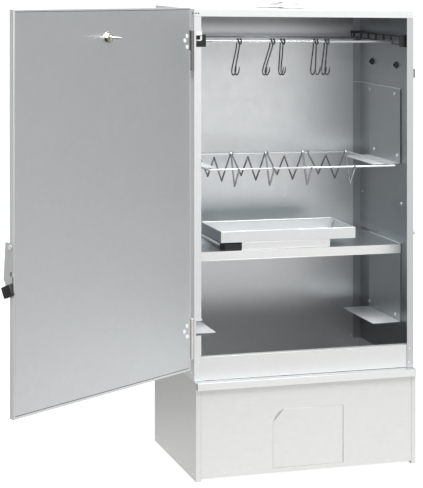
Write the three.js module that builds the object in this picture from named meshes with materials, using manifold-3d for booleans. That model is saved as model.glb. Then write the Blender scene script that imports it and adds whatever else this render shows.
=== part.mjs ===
// Electric cabinet smoker: a sheet-metal cabinet on a base box, with a side-hung door standing open, hanging rods on
// comb rails, a wire rack, a heated shelf with a chip tray, and a base with a small access flap.
// Millimetres, +Z up, +X to the right along the front, +Y to the back.
// Heights in the code are above the floor; the group is lowered by FOOT so that its origin is the centre of the
// underside of the floor pan.
import * as THREE from 'three';
import { mergeVertices } from 'three/addons/utils/BufferGeometryUtils.js';
import Module from 'manifold-3d';

const wasm = await Module();
wasm.setup();

// ---- driving dimensions ----
const FOOT = 6; // floor pan underside above the floor
const SHEET = 1; // sheet thickness
const GAP = 0.3; // working gap between neighbouring pieces
const HALF_W = 490 / 2; // half width of cabinet and base
const HALF_D = 300 / 2; // half depth of the base
const BASE_H = 201.7; // top of the base
const CAB_FRONT = -138; // front plane of the cabinet
const CAB_BACK = 141; // back plane of the side walls
const ROOF_H = 960;
const WALL_BOT = 202;
const WALL_TOP = 944.7; // side and back walls end under the roof's lips
const FLANGE = 15; // front flange of each side wall
const INNER_X = HALF_W - SHEET - GAP; // half width of what fits between the side walls
const BACK_FACE = CAB_BACK + GAP + SHEET; // outer face of the back wall
const HINGE_X = -249;
const HINGE_Y = -137.5;
const HINGE_HALF = 41; // height of each half of a hinge
const HINGES = [['upper', 834.5], ['lower', 248]].map(([name, bottom]) => (
  { name, bottom, split: bottom + HINGE_HALF, top: bottom + 2 * HINGE_HALF }));
const OPEN_DEG = 148; // how far the door stands open
const HANDLE_YS = [-55, 73]; // bolts of each carry handle
const BOLT_Z = 840;
const ROD_R = 3;
const RAIL_Z = 889; // sill of the rail windows that carry the rods
const ROD_Y_FRONT = -90;
const ROD_Y_REAR = 91;
const ROD_END = 224;
const ROD_Z = RAIL_Z + GAP + ROD_R;
const SHELF_Z = 456;
const HEATER_TOP = 472;
const ELEMENT_Z = 463.5; // centre line of the heating element and its lead
const ELEMENT_YS = [-76, -62]; // the element's two ends
const LEAD_X = -150; // heater lead, control box and cord

// ---- finishes: colour, roughness and metalness ----
const ZINC = { color: 0xd4d7d8, roughness: 0.4, metalness: 0.9 };
const DULL_ZINC = { ...ZINC, color: 0x9ea3a6 };
const DOOR_LINER = { ...ZINC, color: 0xa4a8ab };
const STEEL = { ...ZINC, color: 0xb9bcbe };
const HINGE_STEEL = { ...STEEL, roughness: 0.35 };
const WIRE_STEEL = { ...STEEL, roughness: 0.35, metalness: 1 };
const PIN_STEEL = { ...WIRE_STEEL, roughness: 0.3 };
const NICKEL = { color: 0xc9c8c0, roughness: 0.3, metalness: 1 };
const BRIGHT_NICKEL = { ...NICKEL, roughness: 0.25 };
const PAN_METAL = { color: 0x8d8f90, roughness: 0.55, metalness: 0.8 };
const ELEMENT_METAL = { color: 0x6f7274, roughness: 0.5, metalness: 0.9 };
const HANDLE_GREY = { color: 0x55585a, roughness: 0.5, metalness: 0.4 };
const RAIL_BLACK = { color: 0x2b2c2e, roughness: 0.6, metalness: 0.2 };
const BOX_BLACK = { ...RAIL_BLACK, metalness: 0.1 };
const GRIP_BLACK = { ...RAIL_BLACK, roughness: 0.55, metalness: 0 };
const CABLE = { color: 0x222324, roughness: 0.7, metalness: 0 };
const PLUG = { ...CABLE, roughness: 0.6 };
const KNOB = { color: 0x1f2021, roughness: 0.45, metalness: 0 };
const DIAL = { color: 0xf2f1ec, roughness: 0.6, metalness: 0 };
const LENS = { color: 0xffffff, roughness: 0.05, metalness: 0 };
const NEEDLE = { color: 0x111111, roughness: 0.5, metalness: 0 };

// ---- solids ----
// one closed surface with shared corners, facing outwards
function closed(source) {
  const bare = source.clone();
  bare.deleteAttribute('normal');
  bare.deleteAttribute('uv');
  const geometry = mergeVertices(bare, 1e-4);
  const position = geometry.getAttribute('position');
  const order = geometry.getIndex().array;
  const corners = [0, 1, 2].map(() => new THREE.Vector3());
  let volume = 0;
  for (let i = 0; i < order.length; i += 3) {
    corners.forEach((corner, k) => corner.fromBufferAttribute(position, order[i + k]));
    volume += corners[0].dot(corners[1].cross(corners[2]));
  }
  if (volume < 0) {
    for (let i = 0; i < order.length; i += 3) {
      [order[i + 1], order[i + 2]] = [order[i + 2], order[i + 1]];
    }
  }
  geometry.computeVertexNormals();
  return geometry;
}
function solid(source) {
  const geometry = closed(source);
  return new wasm.Manifold(new wasm.Mesh({
    numProp: 3,
    vertProperties: new Float32Array(geometry.getAttribute('position').array),
    triVerts: new Uint32Array(geometry.getIndex().array),
  }));
}
function geometryOf(manifold) {
  const mesh = manifold.getMesh();
  const geometry = new THREE.BufferGeometry();
  const positions = new Float32Array(mesh.vertProperties);
  geometry.setAttribute('position', new THREE.BufferAttribute(positions, 3));
  geometry.setIndex(new THREE.BufferAttribute(new Uint32Array(mesh.triVerts), 1));
  geometry.computeVertexNormals();
  return geometry;
}
const join = (...parts) => geometryOf(parts.map(solid).reduce((a, b) => a.add(b)));
const cut = (body, ...tools) => geometryOf(
  tools.reduce((rest, tool) => rest.subtract(solid(tool)), solid(body)));
const mirrorX = (geometry) => closed(geometry.clone().scale(-1, 1, 1));

function box(x0, x1, y0, y1, z0, z1) {
  const geometry = new THREE.BoxGeometry(x1 - x0, y1 - y0, z1 - z0);
  return geometry.translate((x0 + x1) / 2, (y0 + y1) / 2, (z0 + z1) / 2);
}
// open-topped sheet tray
const pan = (x0, x1, y0, y1, z0, z1) => cut(
  box(x0, x1, y0, y1, z0, z1),
  box(x0 + SHEET, x1 - SHEET, y0 + SHEET, y1 - SHEET, z0 + SHEET, z1 + 1),
);

// cylinder between two points, and the same along each axis
function rod(from, to, radius, segments) {
  const start = new THREE.Vector3(...from);
  const end = new THREE.Vector3(...to);
  const along = end.clone().sub(start);
  const geometry = new THREE.CylinderGeometry(radius, radius, along.length(), segments);
  geometry.applyQuaternion(new THREE.Quaternion()
    .setFromUnitVectors(new THREE.Vector3(0, 1, 0), along.normalize()));
  const centre = start.add(end).multiplyScalar(0.5);
  return geometry.translate(centre.x, centre.y, centre.z);
}
const rodX = (x0, x1, y, z, radius, segments) => rod([x0, y, z], [x1, y, z], radius, segments);
const rodY = (x, y0, y1, z, radius, segments) => rod([x, y0, z], [x, y1, z], radius, segments);
const rodZ = (x, y, z0, z1, radius, segments) => rod([x, y, z0], [x, y, z1], radius, segments);

function shapeOf(points) {
  const shape = new THREE.Shape();
  points.forEach(([a, b], i) => (i ? shape.lineTo(a, b) : shape.moveTo(a, b)));
  shape.closePath();
  return shape;
}
// round wire through points, smoothed
function wire(points, radius, steps, segments, tension = 0.5) {
  const centres = points.map((point) => new THREE.Vector3(...point));
  const extrudePath = new THREE.CatmullRomCurve3(centres, false, 'catmullrom', tension);
  const section = shapeOf(Array.from({ length: segments }, (_, i) => {
    const angle = (i / segments) * 2 * Math.PI;
    return [radius * Math.cos(angle), radius * Math.sin(angle)];
  }));
  return closed(new THREE.ExtrudeGeometry(section, { steps, extrudePath, bevelEnabled: false }));
}
const extrude = (shape, depth) => new THREE.ExtrudeGeometry(
  shape, { depth, bevelEnabled: false, curveSegments: 10 });
// [y, z] outline extruded from x0 to x1
const profileX = (points, x0, x1) => extrude(shapeOf(points), x1 - x0).applyMatrix4(
  new THREE.Matrix4().set(0, 0, 1, x0, 1, 0, 0, 0, 0, 1, 0, 0, 0, 0, 0, 1));
// x-z shape extruded from y0 to y1
const profileY = (shape, y0, y1) => extrude(shape, y1 - y0).applyMatrix4(
  new THREE.Matrix4().set(1, 0, 0, 0, 0, 0, -1, y1, 0, 1, 0, 0, 0, 0, 0, 1));
// [x, y] outline extruded from z0 to z1
const profileZ = (points, z0, z1) => extrude(shapeOf(points), z1 - z0).translate(0, 0, z0);

// turned parts about a line parallel to one axis; profile as [radius, place along the axis]
const lathe = (profile, segments) => new THREE.LatheGeometry(
  profile.map(([radius, along]) => new THREE.Vector2(radius, along)), segments);
const turnedX = (profile, y, z, segments) => closed(
  lathe(profile, segments).rotateZ(-Math.PI / 2).translate(0, y, z));
const turnedY = (profile, x, z, segments) => closed(lathe(profile, segments).translate(x, 0, z));
const turnedZ = (profile, x, y, segments) => closed(
  lathe(profile, segments).rotateX(Math.PI / 2).translate(x, y, 0));

const smoker = new THREE.Group();
smoker.position.z = -FOOT;
function add(name, geometry, finish, parent = smoker) {
  const mesh = new THREE.Mesh(geometry, new THREE.MeshStandardMaterial(finish));
  mesh.name = name;
  parent.add(mesh);
}
// a right-hand piece and its mirror image
function addPair(name, geometry, finish) {
  add(`${name}_right`, geometry, finish);
  add(`${name}_left`, mirrorX(geometry), finish);
}

// ---- base ----
const LIP = 10.5; // lips of the base sides, turned in beside the panels
const LIP_TOP = BASE_H - SHEET - GAP;
const PANEL_X = HALF_W - LIP - GAP;
const PANEL_OUT = 149.6; // outer faces of the front and back panels
const PANEL_IN = PANEL_OUT - SHEET;

addPair('base_side', join(
  box(HALF_W - SHEET, HALF_W, -HALF_D, HALF_D, 0, BASE_H),
  box(HALF_W - 10, HALF_W, -HALF_D, HALF_D, 0, SHEET),
  box(HALF_W - LIP, HALF_W, -HALF_D, -HALF_D + SHEET, 0, LIP_TOP),
  box(HALF_W - LIP, HALF_W, HALF_D - SHEET, HALF_D, 0, LIP_TOP),
  box(HALF_W - 14, HALF_W, -125.6, 30, BASE_H - SHEET, BASE_H),
), ZINC);

const HATCH_X = 78.2; // half width of the flap
const HATCH_Z0 = 16;
const HATCH_Z1 = 136;
const HATCH_CUT_X = -54; // where the flap's cut corner meets its top
const HATCH_CLEAR = 0.4;
// the opening's upper left corner bulges past the flap's cut corner
function hatchOpening() {
  const left = -HATCH_X - HATCH_CLEAR;
  const right = HATCH_X + GAP;
  const bottom = HATCH_Z0 - HATCH_CLEAR;
  const top = HATCH_Z1 + HATCH_CLEAR;
  const shape = new THREE.Shape();
  shape.moveTo(left, bottom);
  shape.lineTo(right, bottom);
  shape.lineTo(right, top);
  shape.lineTo(HATCH_CUT_X, top);
  shape.quadraticCurveTo(-73, 130, left, 109.5);
  shape.closePath();
  return profileY(shape, -155, -145);
}
add('base_front_panel', cut(join(
  box(-PANEL_X, PANEL_X, -PANEL_OUT, -PANEL_IN, FOOT, LIP_TOP),
  box(-PANEL_X, PANEL_X, -PANEL_OUT, -PANEL_OUT + 10, LIP_TOP - SHEET, LIP_TOP),
), hatchOpening()), ZINC);
add('base_back_panel', join(
  box(-PANEL_X, PANEL_X, PANEL_IN, PANEL_OUT, FOOT, BASE_H),
  box(-PANEL_X, PANEL_X, 143.2, PANEL_OUT, BASE_H - SHEET, BASE_H),
), ZINC);
add('floor_pan', pan(-243.6, 243.6, -148.3, 148.3, FOOT, 15), DULL_ZINC);

// folded strip along the front, as [y, z]
const LEDGE_OUTLINE = [
  [-157.5, 187], [-157.5, BASE_H], [-126, BASE_H], [-126, BASE_H - SHEET],
  [-156.5, BASE_H - SHEET], [-156.5, 188], [-150.5, 188], [-150.5, 187],
];
add('base_ledge', profileX(LEDGE_OUTLINE, -243.5, 243.5), ZINC);

// access flap with a rolled edge that turns on an upright wire
const ROLL_R = 1.7;
const ROLL_X = HATCH_X - ROLL_R;
const ROLL_Y = -147.6;
const FLAP_OUTLINE = [
  [-HATCH_X, HATCH_Z0], [ROLL_X + 0.2, HATCH_Z0], [ROLL_X + 0.2, HATCH_Z1],
  [HATCH_CUT_X, HATCH_Z1], [-HATCH_X, 110],
];
const flap = new THREE.Group();
smoker.add(flap);
add('hatch_flap', cut(
  join(
    profileY(shapeOf(FLAP_OUTLINE), -PANEL_OUT, -PANEL_IN),
    rodZ(ROLL_X, ROLL_Y, HATCH_Z0, HATCH_Z1, ROLL_R, 20),
  ),
  rodZ(ROLL_X, ROLL_Y, HATCH_Z0 - 2, HATCH_Z1 + 2, 1, 16),
), ZINC, flap);
add('hatch_hinge_pin', join(
  rodZ(ROLL_X, ROLL_Y, 21, 150, 0.75, 12),
  box(ROLL_X - 6, ROLL_X + 6, -148.3, -146, 140, 150),
), STEEL);
add('sawdust_pan', pan(-70, 70, -110, -10, FOOT + SHEET + GAP, 32), PAN_METAL);

// ---- cabinet shell ----
const sideWall = cut(
  join(
    box(HALF_W - SHEET, HALF_W, CAB_FRONT, CAB_BACK, WALL_BOT, WALL_TOP),
    box(HALF_W - FLANGE, HALF_W, CAB_FRONT, CAB_FRONT + SHEET, WALL_BOT, WALL_TOP),
    box(HALF_W - 19, HALF_W, CAB_BACK - SHEET, CAB_BACK, WALL_BOT, WALL_TOP),
  ),
  ...HANDLE_YS.map((y) => rodX(HALF_W - 3, HALF_W + 3, y, BOLT_Z, 3.2, 12)),
);
add('side_wall_right', sideWall, ZINC);
// the left wall's front flange is pierced level with the hinges
const flangeSlot = (z0, z1) => box(
  -HALF_W + 4, -HALF_W + FLANGE + 2, CAB_FRONT - 2, CAB_FRONT + SHEET + 0.5, z0, z1);
add('side_wall_left', cut(mirrorX(sideWall), flangeSlot(882, 915), flangeSlot(295, 328)), ZINC);

add('back_wall', cut(
  join(
    box(-HALF_W, HALF_W, CAB_BACK + GAP, BACK_FACE, WALL_BOT, WALL_TOP),
    box(-HALF_W + 3, HALF_W - 3, CAB_BACK + GAP, BACK_FACE, 170, WALL_BOT + 1),
  ),
  rodY(LEAD_X, CAB_BACK - 3, CAB_BACK + 5, ELEMENT_Z, 5, 16),
), DULL_ZINC);

const VENT_Y = 12;
const VENT_PITCH_R = 32; // circle that the vent holes stand on
const ventHoles = [0, 1, 2, 3].map((i) => {
  const angle = Math.PI / 4 + (i * Math.PI) / 2;
  const x = VENT_PITCH_R * Math.cos(angle);
  const y = VENT_Y + VENT_PITCH_R * Math.sin(angle);
  return rodZ(x, y, ROOF_H - 4, ROOF_H + 14, 12, 20);
});
add('roof', cut(
  box(-HALF_W, HALF_W, CAB_FRONT, BACK_FACE, WALL_TOP + GAP, ROOF_H),
  box(-HALF_W + SHEET, HALF_W - SHEET, CAB_FRONT + SHEET, CAB_BACK + GAP, 940, ROOF_H - SHEET),
  rodZ(0, VENT_Y, ROOF_H - 4, ROOF_H + 4, 3.3, 16),
  ...ventHoles,
), ZINC);

const SILL_FRONT = CAB_FRONT + SHEET + GAP;
const SILL_BACK = CAB_FRONT + 14;
const SILL_BOT = WALL_BOT + GAP;
const SILL_TOP = 250;
add('sill', join(
  box(-INNER_X, INNER_X, SILL_FRONT, SILL_FRONT + SHEET, SILL_BOT, SILL_TOP),
  box(-INNER_X, INNER_X, SILL_FRONT, SILL_BACK, SILL_TOP - SHEET, SILL_TOP),
  box(-INNER_X, INNER_X, SILL_FRONT, SILL_BACK, SILL_BOT, SILL_BOT + SHEET),
), ZINC);

// roof vent: a low domed disc that turns over four holes; profiles as [radius, z]
const DAMPER_PROFILE = [
  [3.6, 969.4], [28, 968.6], [46, 966.5], [55, 962.9], [55.6, 964],
  [46.5, 967.7], [28.2, 969.8], [3.6, 970.6], [3.6, 969.4],
];
const PIVOT_PROFILE = [
  [0, 957.6], [6, 957.6], [6, 958.7], [2.9, 958.7], [2.9, 960.4], [6, 960.4], [6, 969],
  [2.9, 969], [2.9, 971], [6.5, 971], [6.2, 971.9], [4, 972.4], [0, 972.6],
];
add('vent_damper', cut(
  join(
    turnedZ(DAMPER_PROFILE, 0, VENT_Y, 36),
    box(-6, 6, VENT_Y + 53, VENT_Y + 66, 963, 964.2),
  ),
  ...ventHoles,
), ZINC);
add('vent_pivot', turnedZ(PIVOT_PROFILE, 0, VENT_Y, 20), STEEL);

// ---- carry handles: two bolted pads and a bent strip ----
function carryHandle() {
  const [front, back] = HANDLE_YS;
  const bottom = 812;
  const top = 831;
  const inner = HALF_W + GAP;
  const pad = HALF_W + 4.3;
  const outer = HALF_W + 44.5;
  // [x, y]: round the outside of the strip, then back along its inside
  const strip = [
    [inner, front - 11], [pad, front - 11], [outer, front - 1],
    [outer, back + 1], [pad, back + 11], [inner, back + 11],
    [inner, back + 7], [HALF_W + 3.4, back + 7], [HALF_W + 40, back - 3],
    [HALF_W + 40, front + 3], [HALF_W + 3.4, front - 7], [inner, front - 7],
  ];
  return join(
    ...HANDLE_YS.map((y) => box(inner, pad, y - 11, y + 11, bottom, BOLT_Z + 10)),
    profileZ(strip, bottom, top),
    ...HANDLE_YS.flatMap((y) => [
      rodX(HALF_W - 9, HALF_W + 6, y, BOLT_Z, 2.7, 12), // bolt
      rodX(HALF_W - 6.6, INNER_X, y, BOLT_Z, 6, 6), // nut
      rodX(HALF_W + 4, HALF_W + 7, y, BOLT_Z, 5, 16), // head
    ]),
  );
}
addPair('side_handle', carryHandle(), HANDLE_GREY);

// ---- hanger rails: a comb plate with seven windows, and two ends turned to the wall ----
const RAIL_X = 219; // inner face of the comb plate
const RAIL_T = 1.5;
const POST_HALF = 4.5;
const postYs = [0, 1, 2, 3, 4, 5].map((i) => -80.5 + 40.5 * i);
const windowFronts = [-120.6, ...postYs.map((y) => y + POST_HALF)];
const windowBacks = [...postYs.map((y) => y - POST_HALF), 134];
const railWindows = windowFronts.map((front, i) => {
  const carriesRod = i === 0 || i === 5; // these two windows reach lower
  const bottom = carriesRod ? RAIL_Z : 893.7;
  return box(RAIL_X - 1, RAIL_X + 3, front, windowBacks[i], bottom, 904);
});
addPair('hanger_rail', cut(join(
  box(RAIL_X, RAIL_X + RAIL_T, -128.5, 137, 891.2, 906.4),
  box(RAIL_X, RAIL_X + RAIL_T, -128.5, -82, 886.6, 892),
  box(RAIL_X, RAIL_X + RAIL_T, 83, 120.5, 886.6, 892),
  box(217, INNER_X, -129.5, -128, 882.5, 908),
  box(RAIL_X, INNER_X, 136.5, 138, 901, 906.4),
  box(INNER_X - RAIL_T, INNER_X, -129.5, -108, 882.5, 908),
), ...railWindows), RAIL_BLACK);

// ---- brackets on the side walls, and the shelf ----
const BRACKET_T = 1.2;
const LEDGE_X = 178; // inner edge of the bracket ledges
const BRACKET_TOP = SHELF_Z - SHEET - GAP; // the lower brackets end under the shelf
const bracketPlate = (x0, z0, z1) => box(x0, INNER_X, -78, 88, z0, z1);
addPair('upper_bracket', join(
  bracketPlate(INNER_X - BRACKET_T, 627, 790),
  bracketPlate(LEDGE_X, 627, 628.3),
), DULL_ZINC);
addPair('lower_bracket', join(
  bracketPlate(INNER_X - BRACKET_T, 284, BRACKET_TOP),
  bracketPlate(LEDGE_X, 284, 284 + BRACKET_T),
  bracketPlate(222, BRACKET_TOP - SHEET, BRACKET_TOP),
), DULL_ZINC);

const SHELF_X = 236;
const SHELF_FRONT = -93;
add('shelf', join(
  box(-SHELF_X, SHELF_X, SHELF_FRONT, 138, SHELF_Z - SHEET, SHELF_Z),
  box(-SHELF_X, SHELF_X, SHELF_FRONT, SHELF_FRONT + SHEET, SHELF_Z - 19, SHELF_Z),
), ZINC);

// ---- heater under the chip tray ----
const elementHoles = (x0, x1) => ELEMENT_YS.map((y) => rodX(x0, x1, y, ELEMENT_Z, 4, 12));
add('heater_box', cut(
  box(-124.6, 74, -88, 34, SHELF_Z + GAP, HEATER_TOP),
  box(-123.6, 73, -87, 33, SHELF_Z - 2, HEATER_TOP - SHEET),
  ...elementHoles(-130, -120),
), ZINC);
// level course of the heating element, as [x, y]
const ELEMENT_PATH = [
  [-134, -76], [-110, -76], [40, -76], [56, -70], [58, -58], [46, -48], [-70, -45],
  [-84, -39], [-84, -27], [-70, -20], [46, -18], [60, -10], [60, 4], [46, 12],
  [-94, 14], [-110, 6], [-112, -10], [-110, -48], [-117, -60], [-124, -62], [-134, -62],
];
add('heating_element', wire(ELEMENT_PATH.map(([x, y]) => [x, y, ELEMENT_Z]), 3.1, 90, 6),
  ELEMENT_METAL);
add('terminal_block', cut(
  box(-162, -125, -88, -54, SHELF_Z + GAP, 470),
  ...elementHoles(-137, -120),
  rodY(LEAD_X, -62, -50, ELEMENT_Z, 3.9, 12),
), BOX_BLACK);
add('heater_lead', rodY(LEAD_X, -60, 150, ELEMENT_Z, 3.4, 12), CABLE);

// ---- control box behind the back wall, with its knob, cord and plug ----
const KNOB_Z = 478;
const CORD_Y = 165;
add('control_box', cut(
  box(LEAD_X - 40, LEAD_X + 40, BACK_FACE + GAP, 184, 425, 505),
  box(LEAD_X - 38, LEAD_X + 38, 140, 182, 427, 503),
  rodY(LEAD_X, 178, 190, KNOB_Z, 3.8, 16),
  rodZ(LEAD_X, CORD_Y, 420, 430, 4, 12),
), BOX_BLACK);
// [radius, y]
const KNOB_PROFILE = [[0, 184.3], [18, 184.3], [18, 187], [14.5, 188], [13.5, 199], [0, 199.6]];
add('thermostat_knob', join(
  turnedY(KNOB_PROFILE, LEAD_X, KNOB_Z, 30),
  rodY(LEAD_X, 170, 186, KNOB_Z, 3.2, 16),
  box(LEAD_X - 2, LEAD_X + 2, 187, 200.6, KNOB_Z, 491),
), KNOB);

const PLUG_Y = 180;
const PLUG_Z = 18.4;
// [x, y, z] from the control box down to the floor and along to the plug
const CORD_PATH = [
  [LEAD_X, CORD_Y, 440], [LEAD_X, CORD_Y, 400], [-149, 168, 330], [-146, 172, 220],
  [-142, 176, 120], [-132, 180, 45], [-108, 183, 12], [-70, 184, 3.8], [-10, 182, 3.8],
  [40, 180, 6], [70, 180, 14], [92, PLUG_Y, PLUG_Z], [104, PLUG_Y, PLUG_Z],
];
add('power_cord', wire(CORD_PATH, 3.4, 60, 7), CABLE);
// [radius, x]
const PLUG_PROFILE = [
  [4.2, 104.5], [6, 104.5], [9, 112], [18, 122], [18, 140],
  [16.5, 141.5], [0, 141.5], [0, 108], [4.2, 108], [4.2, 104.5],
];
add('power_plug', join(
  turnedX(PLUG_PROFILE, PLUG_Y, PLUG_Z, 24),
  ...[-9.5, 9.5].map((side) => rodX(140, 160, PLUG_Y + side, PLUG_Z, 2.4, 12)),
), PLUG);
add('chip_tray', pan(-171, 133, -88, 46, HEATER_TOP + GAP, 496), ZINC);

// ---- wire rack: a frame with four zigzag wires running front to back ----
const RACK = { left: -211, right: 207, front: -130, back: 132, z: 630.6, radius: 2 };
// [y, z, sideways shift]
const ZIGZAG = [
  [RACK.front, RACK.z], [-120, 611, 0.3], [-110, 594], [-105, 594], [-94, 625], [-83, 657],
  [-78, 657], [-50, 623], [-25, 594], [-19, 594], [3, 614], [25, 635], [31, 635],
  [52, 612], [70, 591], [76, 591], [104, 610], [RACK.back, RACK.z],
];
const zigzag = (x) => wire(
  ZIGZAG.map(([y, z, shift = 0]) => [x + shift, y, z]), 1.5, 44, 6, 0.35);
add('wire_rack', join(
  ...[RACK.front, RACK.back].map((y) => (
    rodX(RACK.left - 2, RACK.right + 2, y, RACK.z, RACK.radius, 8))),
  ...[RACK.left, RACK.right].map((x) => (
    rodY(x, RACK.front - 0.01, RACK.back + 0.01, RACK.z, RACK.radius, 8))),
  ...[-147, -70, 14, 112].map(zigzag),
), NICKEL);

// ---- hanging rods and hooks ----
for (const [name, y] of [['front', ROD_Y_FRONT], ['rear', ROD_Y_REAR]]) {
  add(`hanging_rod_${name}`, rodX(-ROD_END, ROD_END, y, ROD_Z, ROD_R, 16), BRIGHT_NICKEL);
}
// one wire bent into two prongs, each with its own bend over the front rod
function hookWire(x, spread, lean) {
  const bendR = 5;
  const y = ROD_Y_FRONT;
  const z = ROD_Z;
  const prong = (side) => {
    const top = x + side * 3.2;
    const foot = x + side * spread + lean;
    const shankX = (share) => foot + (top - foot) * share;
    const bend = [0, 45, 90, 135, 180].map((degrees) => {
      const angle = (degrees * Math.PI) / 180;
      return [top, y + bendR * Math.cos(angle), z + bendR * Math.sin(angle)];
    });
    return [
      [foot + 4, y - 14, z - 55], [foot + 2.6, y - 12.6, z - 63.5], [foot + 1, y - 6, z - 70],
      [foot, y + 1.5, z - 66.5], [shankX(0.1), y + 4, z - 56], [shankX(0.85), y + bendR, z - 15],
      ...bend,
      [x + side * 2.6, y - bendR, z - 4],
    ];
  };
  const bridge = [x, y - bendR, z - 6.2];
  return wire([...prong(-1), bridge, ...prong(1).reverse()], 1.15, 64, 6);
}
// [x, half spread of the prongs, sideways lean]
const HOOKS = [
  [-131.3, 3.6, -11.9], [-57.3, 3, -18.3], [-34.6, 2.6, -4.9], [40.6, 5.5, -5], [65.7, 4, -6.8],
];
HOOKS.forEach((hook, i) => add(`s_hook_${i + 1}`, hookWire(...hook), WIRE_STEEL));

// ---- cabinet halves of the lift-off hinges, pins, latch keeper ----
const KNUCKLE_R = 3.6;
const hingeRod = (z0, z1, radius, segments) => rodZ(HINGE_X, HINGE_Y, z0, z1, radius, segments);
for (const { name, bottom, split, top } of HINGES) {
  add(`hinge_${name}_cabinet_half`, cut(
    join(
      hingeRod(bottom, split - GAP, KNUCKLE_R, 24),
      box(-HALF_W - 1.7, -HALF_W - 0.4, HINGE_Y, HINGE_Y + 26, bottom, split - GAP),
    ),
    hingeRod(bottom + 3, split + 1, 2.3, 20),
  ), HINGE_STEEL);
  add(`hinge_pin_${name}`, hingeRod(bottom + 3 + GAP, top - 4, 2.15, 20), PIN_STEEL);
}
add('latch_keeper', join(
  rodX(HALF_W + GAP, HALF_W + 5.2, -130, 487, 2.5, 16),
  rodX(HALF_W + 4.2, HALF_W + 5.7, -130, 487, 4.4, 16),
), WIRE_STEEL);

// ---- door, drawn closed and turned open about the hinge axis ----
const doorTurn = new THREE.Group();
doorTurn.position.set(HINGE_X, HINGE_Y, 0);
doorTurn.rotation.z = -THREE.MathUtils.degToRad(OPEN_DEG);
smoker.add(doorTurn);
const door = new THREE.Group();
door.position.set(-HINGE_X, -HINGE_Y, 0);
doorTurn.add(door);

const DOOR_Z0 = 225;
const DOOR_Z1 = 962.5;
const DOOR_IN = -138.6; // inner face of the closed door
const DOOR_OUT = DOOR_IN - 10.6;
const THERMO_X = -3;
const THERMO_Z = 907;
const thermoRod = (y0, y1, radius, segments) => (
  rodY(THERMO_X, y0, y1, THERMO_Z, radius, segments));
// clearance for the door halves of the hinges
const leafSlots = (shift) => HINGES.map(({ split, top }) => box(
  -HALF_W - 1 + shift, -HALF_W + 6 + shift, -141.7, DOOR_IN + 1, split - 0.5, top + 0.5));
add('door_pan', cut(
  box(-HALF_W, HALF_W, DOOR_OUT, DOOR_IN, DOOR_Z0, DOOR_Z1),
  box(-HALF_W + SHEET, HALF_W - SHEET, DOOR_OUT + SHEET, DOOR_IN - SHEET,
    DOOR_Z0 + SHEET, DOOR_Z1 - SHEET),
  box(-HALF_W + 3, HALF_W - 3, DOOR_IN - 2 * SHEET, DOOR_IN + 1, DOOR_Z0 + 5, DOOR_Z1 - 4),
  thermoRod(DOOR_OUT - 3, DOOR_OUT + 3, 5.2, 20),
  ...leafSlots(0),
), ZINC, door);
add('door_inner', cut(
  box(-HALF_W + 3 + GAP, HALF_W - 3 - GAP, DOOR_IN - SHEET, DOOR_IN,
    DOOR_Z0 + 5 + GAP, DOOR_Z1 - 4 - GAP),
  thermoRod(DOOR_IN - 3, DOOR_IN + 3, 5.2, 20),
  ...leafSlots(-1.5),
), DOOR_LINER, door);
for (const { name, split, top } of HINGES) {
  add(`hinge_${name}_door_half`, cut(
    join(
      hingeRod(split + GAP, top, KNUCKLE_R, 24),
      box(HINGE_X, -HALF_W + 24, HINGE_Y - KNUCKLE_R, HINGE_Y - 2.4, split + GAP, top),
    ),
    hingeRod(split - 2, top - 3, 2.5, 20),
  ), HINGE_STEEL, door);
}

// thermometer; each row is a piece, its [radius, y] profile, segments and finish
const THERMOMETER = [
  ['case', [
    [0, -151.2], [23, -151.2], [23, -159], [24.8, -159],
    [26, -158], [26, -151], [24, -149.6], [0, -149.6],
  ], 40, BRIGHT_NICKEL],
  ['dial', [
    [0, -155], [0.8, -155], [0.8, -152.6], [22.6, -152.6], [22.6, -151.6], [0, -151.6],
  ], 36, DIAL],
  ['lens', [[0, -157.8], [22.7, -157.8], [22.7, -156.3], [0, -156.3]], 36, LENS],
  ['stem', [
    [0, -103.8], [1.2, -103.8], [2.2, -105], [2.2, -131],
    [4.6, -131], [4.6, -149.3], [0, -149.3],
  ], 20, BRIGHT_NICKEL],
];
for (const [piece, profile, segments, finish] of THERMOMETER) {
  add(`thermometer_${piece}`, turnedY(profile, THERMO_X, THERMO_Z, segments), finish, door);
}
add('thermometer_nut', cut(
  thermoRod(-138.3, -132.3, 9.8, 6),
  thermoRod(-140, -130, 4.9, 20),
), NICKEL, door);

const needle = new THREE.Group();
door.add(needle);
const NEEDLE_ANGLE = THREE.MathUtils.degToRad(-125); // from straight up
// [angle from the needle's direction, radius]
const NEEDLE_OUTLINE = [
  [-1.2, 2], [-0.02, 19], [0.02, 19], [1.2, 2], [Math.PI - 0.25, 7], [Math.PI + 0.25, 7],
].map(([turn, radius]) => [
  THERMO_X + radius * Math.sin(NEEDLE_ANGLE + turn),
  THERMO_Z + radius * Math.cos(NEEDLE_ANGLE + turn),
]);
add('thermometer_needle', cut(
  join(
    thermoRod(-154.2, -153.3, 3, 16),
    profileY(shapeOf(NEEDLE_OUTLINE), -154.1, -153.4),
  ),
  thermoRod(-156, -152, 1.1, 12),
), NEEDLE, needle);

// latch lever, grip and pivot on the door's free edge
const LATCH_Y = -144;
const LATCH_Z = 535;
const fromPivot = ([out, up]) => [LATCH_Y - out, LATCH_Z + up];
const latchRod = (x0, x1, radius, segments) => (
  rodX(HALF_W + x0, HALF_W + x1, LATCH_Y, LATCH_Z, radius, segments));
// [outward (-y), up] from the pivot
const LEVER_OUTLINE = [
  [-6.5, 8], [-6.5, -44.5], [1.4, -44.5], [1.4, -54], [-3, -54], [-3, -64],
  [3, -68], [5, -89], [12, -90.5], [13.5, -66], [18, -60], [13, 8],
];
add('latch_lever', cut(
  profileX(LEVER_OUTLINE.map(fromPivot), HALF_W + 1.2, HALF_W + 3.2),
  latchRod(-2, 6, 3.3, 20),
), STEEL, door);

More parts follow.
